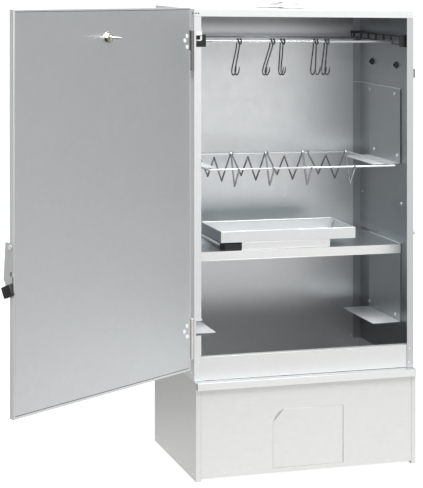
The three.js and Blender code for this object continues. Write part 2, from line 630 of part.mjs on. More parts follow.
const GRIP_TILT = THREE.MathUtils.degToRad(-13);
const GRIP_CENTRE = [8.7, -80];
const gripOutline = [[-10.5, 11], [10.5, 11], [10.5, -11], [-10.5, -11]].map(([out, up]) => (
  fromPivot([
    GRIP_CENTRE[0] + out * Math.cos(GRIP_TILT) - up * Math.sin(GRIP_TILT),
    GRIP_CENTRE[1] + out * Math.sin(GRIP_TILT) + up * Math.cos(GRIP_TILT),
  ])));
add('latch_grip', profileX(gripOutline, HALF_W + 3.5, HALF_W + 11.5), GRIP_BLACK, door);
add('latch_pivot', join(latchRod(GAP, 4.4, 2.95, 16), latchRod(3.5, 5, 5, 16)), PIN_STEEL, door);

export default smoker;
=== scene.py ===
"""A sheet-metal smoking cabinet with an electric heater, its door standing wide open.

The frame's X runs to the right, Y to the back and Z up, so the front faces -Y. The door hinges
at the front left. Shapes are drawn in millimetres above the ground, the door's as if closed.
"""
import math
import random

import bmesh
import bpy
from mathutils import Matrix, Vector


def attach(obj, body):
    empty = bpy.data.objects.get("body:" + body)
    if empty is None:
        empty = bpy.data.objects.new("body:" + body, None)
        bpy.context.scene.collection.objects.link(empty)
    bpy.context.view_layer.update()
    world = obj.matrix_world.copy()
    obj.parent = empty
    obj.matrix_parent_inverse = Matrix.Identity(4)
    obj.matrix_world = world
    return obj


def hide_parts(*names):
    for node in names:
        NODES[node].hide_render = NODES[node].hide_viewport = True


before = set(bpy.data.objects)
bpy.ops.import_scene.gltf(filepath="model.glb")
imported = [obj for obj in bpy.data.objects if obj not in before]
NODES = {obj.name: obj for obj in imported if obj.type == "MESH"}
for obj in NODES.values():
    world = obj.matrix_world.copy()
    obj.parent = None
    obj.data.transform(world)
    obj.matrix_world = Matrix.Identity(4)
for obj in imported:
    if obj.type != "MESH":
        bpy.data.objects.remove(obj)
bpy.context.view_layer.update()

random.seed(7)

MM = 0.001
FOOT = 6.0                      # mm from the ground up to the frame's origin
HINGE = (-249.0, -137.5)        # x, y of the door's hinge axis
OPEN = math.radians(-148)
LEFT, RIGHT, FRONT, BACK, UP = (-1, 0, 0), (1, 0, 0), (0, -1, 0), (0, 1, 0), (0, 0, 1)

# ---- shader nodes -------------------------------------------------------------------------------


class Nodes:
    """Lays out nodes in a tree. An input may be a number, a colour or another node's output."""

    def __init__(self, tree):
        self.tree = tree
        tree.nodes.clear()

    def feed(self, socket, value):
        if isinstance(value, bpy.types.NodeSocket):
            self.tree.links.new(value, socket)
        else:
            socket.default_value = (*value, 1) if socket.type == "RGBA" else value

    def node(self, kind, inputs=None, **settings):
        node = self.tree.nodes.new(kind)
        for key, value in settings.items():
            setattr(node, key, value)
        for key, value in (inputs or {}).items():
            self.feed(node.inputs[key], value)
        return node

    def math(self, operation, *values, clamp=False):
        inputs = dict(enumerate(values))
        return self.node("ShaderNodeMath", inputs, operation=operation, use_clamp=clamp).outputs[0]

    def sway(self, texture, amount):
        """A 0 to 1 texture turned into a swing about zero."""
        return self.math("MULTIPLY", self.math("SUBTRACT", texture, 0.5), amount)

    def ramp(self, value, stops):
        """A grey ramp through (position, brightness) stops."""
        node = self.node("ShaderNodeValToRGB", {0: value})
        elements = node.color_ramp.elements
        while len(elements) < len(stops):
            elements.new(0.5)
        for element, (position, grey) in zip(elements, stops):
            element.position = position
            element.color = (grey, grey, grey, 1)
        return node.outputs[0]

    def map_range(self, value, source, target, smooth=False):
        """Carries the source interval onto the target interval."""
        node = self.node("ShaderNodeMapRange", dict(enumerate((value, *source, *target))))
        if smooth:
            node.interpolation_type = "SMOOTHSTEP"
        return node.outputs[0]

    def part(self, vector, axis):
        return self.node("ShaderNodeSeparateXYZ", {0: vector}).outputs[axis]

    def geometry(self, field, axis):
        return self.part(self.node("ShaderNodeNewGeometry").outputs[field], axis)

    def facing(self, axis):
        """1 on faces square to an axis."""
        along = self.math("ABSOLUTE", self.geometry("Normal", axis))
        return self.map_range(along, (0.6, 0.85), (0.0, 1.0))

    def coords(self, scale=(1, 1, 1)):
        source = self.node("ShaderNodeTexCoord").outputs["Object"]
        return self.node("ShaderNodeMapping", {"Scale": scale, "Vector": source}).outputs[0]

    def noise(self, vector, scale, detail=3.0, roughness=0.55):
        return self.node("ShaderNodeTexNoise", {
            "Vector": vector, "Scale": scale, "Detail": detail, "Roughness": roughness}).outputs[0]

    def voronoi(self, vector, scale, feature="F1", output="Color"):
        inputs = {"Vector": vector, "Scale": scale}
        return self.node("ShaderNodeTexVoronoi", inputs, feature=feature).outputs[output]

    def mix(self, factor, a, b, mode="MIX"):
        inputs = {0: factor, 6: a, 7: b}
        return self.node("ShaderNodeMix", inputs, data_type="RGBA", blend_type=mode).outputs[2]

    def tint(self, color, by):
        return self.mix(1.0, color, by, "MULTIPLY")

    def blend(self, mask, finish, tint, roughness, metallic):
        """Where mask is 1 the colour is tinted and the finish is the second one."""
        color = self.mix(mask, finish[0], self.tint(finish[0], tint))

        def between(a, b):
            first = self.math("MULTIPLY", a, self.math("SUBTRACT", 1.0, mask))
            return self.math("ADD", first, self.math("MULTIPLY", b, mask))
        return color, between(finish[1], roughness), between(finish[2], metallic)

    def bump(self, height, strength, distance, normal=None):
        inputs = {"Strength": strength, "Distance": distance, "Height": height}
        if normal is not None:
            inputs["Normal"] = normal
        return self.node("ShaderNodeBump", inputs).outputs[0]


class Material(Nodes):
    def __init__(self, name):
        self.material = bpy.data.materials.new(name)
        self.material.use_nodes = True
        super().__init__(self.material.node_tree)
        self.output = self.node("ShaderNodeOutputMaterial")

    def principled(self, color, roughness, metallic, normal, more=None):
        shader = self.node("ShaderNodeBsdfPrincipled", {
            "Base Color": color, "Roughness": roughness, "Metallic": metallic, "Normal": normal,
            **(more or {})})
        return self.surface(shader)

    def surface(self, shader):
        self.feed(self.output.inputs[0], shader.outputs[0])
        return self.material


# ---- kinds of material --------------------------------------------------------------------------


def sheet(name, color, roughness, metallic, grain, spangle=0.02, treat=None, anisotropy=0.0,
          relief=0.010):
    """Zinc-coated sheet: rolling grain along one axis, faint spangle and cloudy patches."""
    m = Material(name)
    stretch = {"x": (1.2, 60, 60), "y": (60, 1.2, 60), "z": (60, 60, 1.2)}[grain]
    rolling = m.noise(m.coords(stretch), scale=9.0, detail=4.0, roughness=0.6)
    cloud = m.noise(m.coords((1, 1, 0.55)), scale=5.5, detail=3.0, roughness=0.5)
    cells = m.voronoi(m.coords(), scale=85.0)
    cell = m.node("ShaderNodeSeparateColor", {0: cells}).outputs
    fine = m.noise(m.coords(), scale=900.0, detail=2.0, roughness=0.5)

    shade = m.math("ADD", m.sway(cloud, 0.03), m.sway(cell[0], spangle))
    shade = m.math("ADD", shade, m.sway(rolling, 0.05))
    shade = m.math("ADD", shade, 1.0)
    color = m.tint(color, shade)
    roughness = m.math("ADD", roughness, m.sway(cell[1], 0.025))
    roughness = m.math("ADD", roughness, m.sway(rolling, 0.035))
    roughness = m.math("ADD", roughness, m.sway(cloud, 0.04), clamp=True)
    finish = (color, roughness, metallic)
    if treat:
        finish = treat(m, finish)

    height = m.math("ADD", m.math("MULTIPLY", rolling, 0.7), m.math("MULTIPLY", fine, 0.3))
    normal = m.bump(height, strength=relief, distance=0.0003)
    # long, shallow waves: thin sheet is never quite flat
    wave = m.noise(m.coords(), scale=3.2, detail=1.0, roughness=0.4)
    normal = m.bump(wave, strength=0.014, distance=0.004, normal=normal)
    more = {}
    if anisotropy:
        # the rolling grain runs upwards, so reflections spread sideways
        tangent = m.node("ShaderNodeTangent", direction_type="RADIAL", axis="Z")
        more = {"Anisotropic": anisotropy, "Tangent": tangent.outputs[0]}
    return m.principled(*finish, normal, more)


def metal(name, color, roughness, metallic, scale, bump, mottle, by_height=False):
    m = Material(name)
    coarse = m.noise(m.coords(), scale, detail=4.0, roughness=0.6)
    fine = m.noise(m.coords(), scale * 9, detail=2.0, roughness=0.6)
    color = m.tint(color, m.math("ADD", 1.0, m.sway(coarse, mottle * 2)))
    if by_height:
        # painted light and shade by height: the fittings are painted brighter low down and darker
        # towards the top
        z = m.geometry("Position", "Z")
        color = m.tint(color, m.map_range(z, (0.45, 0.78), (1.2, 0.36)))
    roughness = m.math("ADD", roughness, m.sway(fine, 0.16), clamp=True)
    normal = m.bump(m.math("ADD", coarse, fine), bump, distance=0.0003)
    return m.principled(color, roughness, metallic, normal)


def plastic(name, color, roughness, scale, bump, specular=0.5):
    m = Material(name)
    pebble = m.voronoi(m.coords(), scale, "SMOOTH_F1", "Distance")
    patches = m.noise(m.coords(), scale=35.0, detail=3.0, roughness=0.6)
    color = m.tint(color, m.math("ADD", 1.0, m.sway(patches, 0.35)))
    roughness = m.math("ADD", roughness, m.sway(patches, 0.15), clamp=True)
    normal = m.bump(pebble, bump, distance=0.00025)
    return m.principled(color, roughness, 0.0, normal, {"Specular IOR Level": specular})


def glass(name):
    m = Material(name)
    ripple = m.bump(m.noise(m.coords(), scale=40, detail=2), strength=0.01, distance=0.0002)
    return m.principled(color=(0.96, 0.98, 0.99), roughness=0.03, metallic=0.0, normal=ripple,
                        more={"Transmission Weight": 1.0, "IOR": 1.45})


# ---- how a sheet's finish varies over a part ----------------------------------------------------


def flat_tops(m, finish):
    """Level faces get a darker, cooler tint, painted shade, and a smoother, more metallic finish;
    folded fronts are matt.
    """
    return m.blend(m.facing("Z"), finish, tint=(0.86, 0.89, 0.91), roughness=0.27, metallic=0.95)


def shade_all_but_front(m, finish):
    """All faces but the front ones are painted darker, as shade, and are more metallic."""
    frontward = m.math("MULTIPLY", m.geometry("Normal", "Y"), -1.0)
    others = m.map_range(frontward, (0.6, 0.85), (1.0, 0.0))
    return m.blend(others, finish, tint=(0.76, 0.79, 0.81), roughness=0.30, metallic=0.92)


# height in metres, painted shade on the inside of the side walls as brightness by height: dark
# below the shelf and under the roof
WALL_SHADE = [(0.25, 0.48), (0.33, 0.64), (0.42, 1.0), (0.455, 1.0), (0.47, 0.74), (0.60, 0.78),
              (0.70, 0.93), (0.80, 0.97), (0.87, 0.80), (0.92, 0.66)]


def side_wall(m, finish):
    """Painted shade on the inside: inner faces tinted darker and painted darker by height. The
    faces that look forward get separate finishes, with painted light and shade across the front
    flanges.
    """
    geometry = m.node("ShaderNodeNewGeometry")

    def part(field, axis):
        return m.part(geometry.outputs[field], axis)

    normal_x, x = part("Normal", "X"), part("Position", "X")
    z = part("Position", "Z")
    # inner faces: a darker tint, painted shade
    inner = m.math("LESS_THAN", m.math("MULTIPLY", normal_x, m.math("SIGN", x)), -0.5)
    color, roughness, metallic = m.blend(
        inner, finish, tint=(0.70, 0.73, 0.755), roughness=0.31, metallic=0.98)
    normal_y, y = part("Normal", "Y"), part("Position", "Y")
    painted_shade = m.ramp(z, WALL_SHADE)
    color = m.mix(inner, color, m.tint(color, painted_shade))

    # the rear flanges' forward faces: a darker tint, painted shade
    rear = m.math("MULTIPLY", m.math("LESS_THAN", normal_y, -0.7), m.math("GREATER_THAN", y, 0.0))
    color, roughness, metallic = m.blend(
        rear, (color, roughness, metallic), tint=(0.70, 0.72, 0.74), roughness=0.34, metallic=0.97)

    # front flanges: the left one painted lighter and the right one painted darker, as the light
    # falls
    front = m.math("MULTIPLY", m.math("LESS_THAN", normal_y, -0.7),
                   m.math("LESS_THAN", y, -0.12))
    change = m.math("SUBTRACT", m.map_range(x, (-0.2, 0.2), (1.05, 0.78)), 1.0)
    color = m.tint(color, m.math("ADD", m.math("MULTIPLY", change, front), 1.0))
    return m.blend(front, (color, roughness, metallic),
                   tint=(1.0, 1.0, 1.0), roughness=0.42, metallic=0.50)


def shade_under_roof(m, finish):
    """The back wall is painted darker in a soft band close under the roof: painted shade."""
    z = m.geometry("Position", "Z")
    band = m.map_range(z, (0.896, 0.924), (1.0, 0.38), smooth=True)
    return m.tint(finish[0], band), *finish[1:]


def shaded_flanks(m, finish):
    """The base's left and right faces are painted darker than its folded front and back edges:
    painted shade.
    """
    mask = m.facing("X")
    return m.mix(mask, finish[0], m.tint(finish[0], (0.76, 0.757, 0.748))), *finish[1:]


def lit_ledges(m, finish):
    """The brackets' level faces are painted much paler, as painted light, and are more matt."""
    return m.blend(m.facing("Z"), finish, tint=(1.75, 1.72, 1.69), roughness=0.40, metallic=0.42)


GALVANISED = (0.86, 0.86, 0.855)
SHELL_GREY = (0.80, 0.81, 0.815)
MATERIALS = {
    "outer_x": sheet("zinc_sheet_grain_across", GALVANISED, roughness=0.40, metallic=0.68,
                     grain="x"),
    "lip": sheet("zinc_sheet_lips", GALVANISED, roughness=0.42, metallic=0.52, grain="x",
                 treat=flat_tops),
    "base_side": sheet("zinc_base_side", GALVANISED, roughness=0.40, metallic=0.72, grain="y",
                       treat=shaded_flanks),
    "roof": sheet("zinc_roof", (0.78, 0.785, 0.785), roughness=0.46, metallic=0.42, grain="x"),
    "tray": sheet("zinc_sheet_tray", (0.77, 0.785, 0.79), roughness=0.42, metallic=0.52,
                  grain="x", treat=shade_all_but_front),
    "inner_z": sheet("zinc_inner_grain_up", (0.90, 0.925, 0.94), roughness=0.34, metallic=0.96,
                     grain="z", treat=shade_under_roof, anisotropy=0.75),
    # the bracket plates' dark colour is painted shade: the inner walls' shaded tone
    "bracket": sheet("zinc_bracket_sheet", (0.56, 0.59, 0.61), roughness=0.33, metallic=0.95,
                     grain="y", spangle=0.006, treat=lit_ledges, relief=0.003),
    "wall_z": sheet("zinc_side_wall", SHELL_GREY, roughness=0.36, metallic=0.80, grain="z",
                    treat=side_wall, anisotropy=0.6),
    "door_outer": sheet("zinc_door_shell", SHELL_GREY, roughness=0.36, metallic=0.82, grain="z"),
    "door": sheet("zinc_door_sheet", (0.76, 0.785, 0.80), roughness=0.33, metallic=0.95,
                  grain="z", anisotropy=0.6),
    "tab": sheet("zinc_flange_tabs", (0.88, 0.88, 0.875), roughness=0.42, metallic=0.50,
                 grain="z"),
    "lever": sheet("zinc_lever", (0.69, 0.695, 0.695), roughness=0.38, metallic=0.75, grain="z",
                   spangle=0.01),
    # a bright finish: painted highlights on the bracket hems and the door's edge fold, and the
    # rail clip's bright zinc
    "lip_bright": sheet("bright_zinc_and_painted_highlights", (0.93, 0.93, 0.93), roughness=0.35, metallic=0.35,
                        grain="z"),
    "glass": glass("glass_lens"),
}

# name, colour, roughness, metallic, mottle scale, bump strength, mottle depth, painted brighter
# low and darker high
METALS = {
    "rivet_head": ("rivet_heads_pressed", (0.95, 0.96, 0.965), 0.34, 0.35, 500.0, 0.05, 0.05),
    "black": ("black_enamel", (0.012, 0.012, 0.013), 0.42, 0.0, 300.0, 0.2, 0.2),
    "fitting": ("zinc_fittings", (0.70, 0.675, 0.655), 0.36, 0.50, 300.0, 0.08, 0.1, True),
    "seam": ("joint_shadow", (0.05, 0.052, 0.055), 0.6, 0.2, 300.0, 0.1, 0.2),
    "nut": ("plated_nuts", (0.12, 0.12, 0.115), 0.22, 1.0, 300.0, 0.06, 0.1),
    "rivet": ("rivet_aluminium", (0.90, 0.90, 0.90), 0.30, 0.7, 500.0, 0.05, 0.05),
    "wire": ("steel_wire", (0.13, 0.13, 0.13), 0.24, 1.0, 300.0, 0.05, 0.1),
    "chrome": ("plated_wire", (0.80, 0.80, 0.80), 0.24, 0.92, 200.0, 0.02, 0.04),
    "bar": ("plated_bar", (0.86, 0.86, 0.86), 0.30, 0.62, 200.0, 0.02, 0.04),
    "zigzag": ("plated_wire_bent", (0.42, 0.43, 0.44), 0.15, 1.0, 200.0, 0.02, 0.05),
    "nickel": ("nickel", (0.72, 0.70, 0.65), 0.2, 1.0, 120.0, 0.03, 0.05),
    # the rear rod: the front rod's plating painted darker, as shade
    "dark_rod": ("rear_rod", (0.46, 0.47, 0.475), 0.3, 1.0, 200.0, 0.05, 0.1),
    "sheath": ("heater_sheath", (0.10, 0.10, 0.10), 0.5, 0.9, 80.0, 0.2, 0.4),
    "pan": ("pan_steel", (0.28, 0.27, 0.26), 0.45, 1.0, 40.0, 0.1, 0.3),
}
# name, colour, roughness, pebble scale, bump strength, specular
PLASTICS = {
    "plastic": ("black_plastic", (0.012, 0.012, 0.013), 0.5, 1400.0, 0.25),
    "rubber": ("cable_rubber", (0.012, 0.012, 0.012), 0.65, 900.0, 0.15, 0.35),
    "handle": ("grey_enamel", (0.16, 0.165, 0.17), 0.42, 1800.0, 0.12),
    "dial": ("dial_white", (0.80, 0.80, 0.76), 0.5, 500.0, 0.02),
    "needle": ("needle_black", (0.01, 0.01, 0.01), 0.4, 500.0, 0.02),
    "lamp": ("lamp_amber", (0.75, 0.18, 0.02), 0.15, 500.0, 0.02, 0.8),
    "ink": ("dial_ink", (0.015, 0.015, 0.018), 0.6, 700.0, 0.02),
    "pale_ink": ("pale_ink", (0.65, 0.65, 0.63), 0.6, 700.0, 0.02),
}
MATERIALS.update({key: metal(*row) for key, row in METALS.items()})
MATERIALS.update({key: plastic(*row) for key, row in PLASTICS.items()})

# ---- the carried-over parts: their materials, soft shading and broken edges ---------------------

# material: the parts that wear it
WORN_BY = {
    "outer_x": "floor_pan base_front_panel base_back_panel sill heater_box hatch_flap vent_damper",
    "base_side": "base_side_left base_side_right",
    "lip": "base_ledge shelf chip_tray",
    "wire": "hatch_hinge_pin s_hook_1 s_hook_2 s_hook_3 s_hook_4 s_hook_5",
    "wall_z": "side_wall_left side_wall_right",
    "inner_z": "back_wall",
    "roof": "roof",
    "fitting": "vent_pivot hinge_upper_cabinet_half hinge_lower_cabinet_half hinge_pin_upper "
               "hinge_pin_lower latch_keeper hinge_upper_door_half hinge_lower_door_half",
    "black": "hanger_rail_left hanger_rail_right",
    "bracket": "upper_bracket_left upper_bracket_right lower_bracket_left lower_bracket_right",
    "sheath": "heating_element",
    "plastic": "terminal_block control_box power_plug latch_grip thermostat_knob",
    "rubber": "heater_lead power_cord",
    "handle": "side_handle_left side_handle_right",
    "door_outer": "door_pan",
    "door": "door_inner",
    "nickel": "thermometer_case thermometer_stem thermometer_nut",
    "dial": "thermometer_dial",
    "glass": "thermometer_lens",
    "rivet": "latch_pivot",
    "needle": "thermometer_needle",
    "lever": "latch_lever",
    "chrome": "hanging_rod_front wire_rack",
    "dark_rod": "hanging_rod_rear",
    "pan": "sawdust_pan",
}
for key, parts in WORN_BY.items():
    for part in parts.split():
        slots = NODES[part].data.materials
        slots.clear()
        slots.append(MATERIALS[key])

SHARP_ANGLE = 32                # degrees
BEVEL = 0.28                    # mm, where BEVELS names no other width
BEVELS = {
    "side_handle_left": 1.4, "side_handle_right": 1.4, "control_box": 2.2, "latch_lever": 0.45,
    "terminal_block": 1.2, "hanger_rail_left": 0.35, "hanger_rail_right": 0.35,
    "vent_damper": 0.2, "hatch_flap": 0.18, "hatch_hinge_pin": 0.15, "vent_pivot": 0.25,
    "latch_keeper": 0.3, "latch_pivot": 0.4, "thermometer_needle": 0.0, "base_ledge": 0.35,
}


def smoothing_group(angle):
    """Welds the corners and smooths the shading, except across edges sharper than angle."""
    tree = bpy.data.node_groups.new("smooth_%d" % angle, "GeometryNodeTree")
    for direction in ("INPUT", "OUTPUT"):
        tree.interface.new_socket("Geometry", in_out=direction,
                                  socket_type="NodeSocketGeometry")
    new, link = tree.nodes.new, tree.links.new
    start, end = new("NodeGroupInput"), new("NodeGroupOutput")
    merge = new("GeometryNodeMergeByDistance")
    merge.inputs["Distance"].default_value = 2e-6
    faces = new("GeometryNodeSetShadeSmooth")
    faces.domain = "FACE"
    faces.inputs["Shade Smooth"].default_value = True
    edges = new("GeometryNodeSetShadeSmooth")
    edges.domain = "EDGE"
    edges.inputs["Shade Smooth"].default_value = False
    edge_angle = new("GeometryNodeInputMeshEdgeAngle")
    sharper = new("FunctionNodeCompare")
    sharper.data_type = "FLOAT"
    sharper.operation = "GREATER_THAN"
    sharper.inputs[1].default_value = math.radians(angle)
    link(start.outputs[0], merge.inputs[0])
    link(merge.outputs[0], faces.inputs[0])
    link(faces.outputs[0], edges.inputs[0])
    link(edge_angle.outputs[0], sharper.inputs[0])
    link(sharper.outputs[0], edges.inputs["Selection"])
    link(edges.outputs[0], end.inputs[0])
    return tree


def break_edges(obj, width, segments, angle):
    bevel = obj.modifiers.new("broken_edges", "BEVEL")
    bevel.width = width * MM
    bevel.segments = segments
    bevel.limit_method = "ANGLE"
    bevel.angle_limit = math.radians(angle)


smooth_nodes = smoothing_group(SHARP_ANGLE)
for part, obj in NODES.items():
    obj.modifiers.new("soft_shading", "NODES").node_group = smooth_nodes
    width = BEVELS.get(part, BEVEL)
    if width:
        break_edges(obj, width, segments=2, angle=SHARP_ANGLE)

# ---- drawing helpers ----------------------------------------------------------------------------


def at(x, y, z):
    return Vector((x * MM, y * MM, (z - FOOT) * MM))


def on_door(x, y, z):
    """A point drawn on the closed door, turned open about the hinge."""
    dx, dy = x - HINGE[0], y - HINGE[1]
    c, s = math.cos(OPEN), math.sin(OPEN)
    return at(HINGE[0] + dx * c - dy * s, HINGE[1] + dx * s + dy * c, z)


def smooth_path(points, steps, tension=0.5):
    """A cardinal spline through the points."""
    points = [Vector(p) for p in points]
    out = []
    for i, (p1, p2) in enumerate(zip(points, points[1:])):
        before = points[i - 1] if i else p1 * 2 - p2
        after = points[i + 2] if i + 2 < len(points) else p2 * 2 - p1
        m1, m2 = (p2 - before) * tension, (after - p1) * tension
        for k in range(steps):
            t = k / steps
            t2, t3 = t * t, t * t * t
            out.append(p1 * (2 * t3 - 3 * t2 + 1) + m1 * (t3 - 2 * t2 + t)
                       + p2 * (-2 * t3 + 3 * t2) + m2 * (t3 - t2))
    out.append(points[-1])
    return out


def fillet(points, radius, steps):
    """Straight runs with rounded corners."""
    points = [Vector(p) for p in points]
    out = [points[0]]
    for a, b, c in zip(points, points[1:], points[2:]):
        u, v = (a - b), (c - b)
        r = min(radius, u.length * 0.49, v.length * 0.49)
        u, v = u.normalized() * r, v.normalized() * r
        for k in range(steps + 1):
            t = k / steps
            out.append((b + u) * (1 - t) ** 2 + b * 2 * t * (1 - t) + (b + v) * t * t)
    out.append(points[-1])
    return out


def level_loop(x0, x1, y0, y1, z, radius):
    """A rounded rectangle at one height, starting and ending in the middle of its front."""
    corners = [(0, y0), (x0, y0), (x0, y1), (x1, y1), (x1, y0), (0.5, y0)]
    return fillet([(x, y, z) for x, y in corners], radius, 5)


def rounded_box(x0, x1, z0, z1, r, steps):
    points = []
    for cx, cz, start in ((x1 - r, z1 - r, 0), (x0 + r, z1 - r, 90),
                          (x0 + r, z0 + r, 180), (x1 - r, z0 + r, 270)):
        for k in range(steps + 1):
            a = math.radians(start + 90 * k / steps)
            points.append((cx + r * math.cos(a), cz + r * math.sin(a)))
    return points


def tick_outline(cx, cz, angle, inner, outer, half_width, mirror=1):
    """A dial's tick between two radii, at an angle clockwise from the top."""
    ca, sa = math.cos(angle), math.sin(angle)
    return [(cx + mirror * (r * sa + w * ca), cz + r * ca - w * sa)
            for r, w in ((inner, -half_width), (inner, half_width),
                         (outer, half_width), (outer, -half_width))]


def bands(rows, size):
    """The quads between successive rows of size vertices each."""
    return [(j * size + k, j * size + (k + 1) % size, (j + 1) * size + (k + 1) % size,
             (j + 1) * size + k) for j in range(rows - 1) for k in range(size)]


class Piece:
    """A mesh gathered from shapes drawn in millimetres above the ground."""

    def __init__(self, place=at):
        self.vertices, self.faces, self.place = [], [], place

    def add(self, vertices, faces):
        base = len(self.vertices)
        self.vertices += [Vector(p) for p in vertices]
        self.faces += [tuple(i + base for i in face) for face in faces]

    def prism(self, outline, axis, start, end):
        """An outline pulled along x from (y, z) points, y from (x, z) or z from (x, y)."""
        def put(p, t):
            return {"x": (t, p[0], p[1]), "y": (p[0], t, p[1]), "z": (p[0], p[1], t)}[axis]
        n = len(outline)
        caps = [tuple(range(n))[::-1], tuple(range(n, 2 * n))]
        self.add([put(p, t) for t in (start, end) for p in outline], caps + bands(2, n))

    def lathe(self, profile, origin, direction, segments, turn=0.0):
        """profile: (radius, height along direction); ends on the axis, or closes on itself."""
        d = Vector(direction).normalized()
        ref = Vector((0, 0, 1)) if abs(d.z) < 0.9 else Vector((1, 0, 0))
        u = d.cross(ref).normalized()
        w = d.cross(u).normalized()
        o = Vector(origin)
        rings, vertices, faces = [], [], []
        for r, h in profile:
            if r < 1e-6:
                rings.append([len(vertices)])
                vertices.append(o + d * h)
                continue
            rings.append(list(range(len(vertices), len(vertices) + segments)))
            for k in range(segments):
                a = turn + 2 * math.pi * k / segments
                vertices.append(o + d * h + (u * math.cos(a) + w * math.sin(a)) * r)
        pairs = list(zip(rings, rings[1:]))
        if len(rings[0]) > 1 and len(rings[-1]) > 1:
            pairs.append((rings[-1], rings[0]))
        for a, b in pairs:
            for k in range(segments):
                q = (k + 1) % segments
                if len(a) == 1:
                    faces.append((a[0], b[q], b[k]))
                elif len(b) == 1:
                    faces.append((a[k], a[q], b[0]))
                else:
                    faces.append((a[k], a[q], b[q], b[k]))
        self.add(vertices, faces)

    def tube(self, path, radius, sides, round_ends=True):
        """A round wire along a list of points; radius is a number or one radius a point."""
        path = [Vector(p) for p in path]
        n = len(path)
        radii = [radius] * n if isinstance(radius, (int, float)) else radius
        tangents = [(path[min(i + 1, n - 1)] - path[max(i - 1, 0)]).normalized()
                    for i in range(n)]
        first, last = tangents[0], tangents[-1]
        ref = Vector((0, 0, 1)) if abs(first.z) < 0.9 else Vector((1, 0, 0))
        normal = (ref - first * ref.dot(first)).normalized()
        frames = []
        for i, tangent in enumerate(tangents):
            if i:
                normal = (normal - tangent * normal.dot(tangent)).normalized()
            frames.append((normal.copy(), tangent.cross(normal)))
        vertices, faces = [], []

        def ring(centre, axes, r):
            start = len(vertices)
            for k in range(sides):
                a = 2 * math.pi * k / sides
                vertices.append(centre + axes[0] * (math.cos(a) * r) + axes[1] * (math.sin(a) * r))
            return list(range(start, start + sides))

        rings = [ring(*station) for station in zip(path, frames, radii)]
        if round_ends:
            # a short rounded cap at each end: reach and radius as shares of the wire's radius
            head = [ring(path[0] - first * (radii[0] * reach * 0.6), frames[0], radii[0] * share)
                    for reach, share in ((0.9, 0.42), (0.55, 0.83))]
            tail = [ring(path[-1] + last * (radii[-1] * reach * 0.6), frames[-1],
                         radii[-1] * share)
                    for reach, share in ((0.55, 0.83), (0.9, 0.42))]
            rings = head + rings + tail
        for a, b in zip(rings, rings[1:]):
            for k in range(sides):
                q = (k + 1) % sides
                faces.append((a[k], a[q], b[q], b[k]))
        faces += [tuple(rings[0])[::-1], tuple(rings[-1])]
        self.add(vertices, faces)

    def rivets(self, points, direction, radius, height):
        """Domed heads."""
        rim = 0.12
        profile = [(0, -0.5), (radius, -0.5), (radius, rim)]
        for k in range(1, 6):
            a = k / 6 * math.pi / 2
            profile.append((radius * math.cos(a), rim + (height - rim) * math.sin(a)))
        profile.append((0, height))
        for point in points:
            self.lathe(profile, point, direction, 18)

    def make(self, name, material, body, slot, replaces=None, bevel=0.0, segments=2, smooth=35):
        mesh = bpy.data.meshes.new(name)
        mesh.from_pydata([tuple(self.place(*p)) for p in self.vertices], [], self.faces)
        bm = bmesh.new()
        bm.from_mesh(mesh)
        bmesh.ops.recalc_face_normals(bm, faces=bm.faces)
        bm.to_mesh(mesh)
        bm.free()
        mesh.polygons.foreach_set("use_smooth", [True] * len(mesh.polygons))
        mesh.set_sharp_from_angle(angle=math.radians(smooth))
        mesh.materials.append(MATERIALS[material])
        obj = bpy.data.objects.new(name, mesh)
        bpy.context.scene.collection.objects.link(obj)
        if bevel:
            break_edges(obj, bevel, segments, smooth)
        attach(obj, body)
        if replaces:
            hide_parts(replaces)


# ---- rivets and screws --------------------------------------------------------------------------
DOOR_INNER_Y, DOOR_OUTER_Y = -138.6, -149.2
WALL_INNER_X, WALL_OUTER_X = 244, 245
BRACKET_PLATE_X = WALL_INNER_X - 0.3 - 1.2
FLANGE_Y = -138
BASE_Y = 149.6                  # front and back faces of the base
BACK_Y = 142.3
HINGE_RIVETS = [(-234, 905), (-227.5, 896), (-234.5, 883),
                (-234, 317.4), (-226, 306.9), (-235, 295.6)]                        # x, z
BRACKET_RIVETS = [(-47, 777), (84, 777), (-60, 644), (62, 644), (-51, 297), (85, 297)]  # y, z
LONE_RIVET = (-80, 541)         # y, z

rivets = Piece(on_door)
rivets.rivets([(x, DOOR_INNER_Y, z) for x, z in HINGE_RIVETS], BACK, radius=4.4, height=0.5)
rivets.make("door_inner_rivets", "rivet_head", "door", "steel_fittings")
rivets = Piece(on_door)
rivets.rivets([(x, DOOR_OUTER_Y, z) for x, z in HINGE_RIVETS], FRONT, radius=3.0, height=1.3)
rivets.rivets([(236, DOOR_OUTER_Y, z) for z in (560, 545)], FRONT, radius=2.2, height=1.0)
rivets.make("door_outer_rivets", "rivet", "door", "steel_fittings")

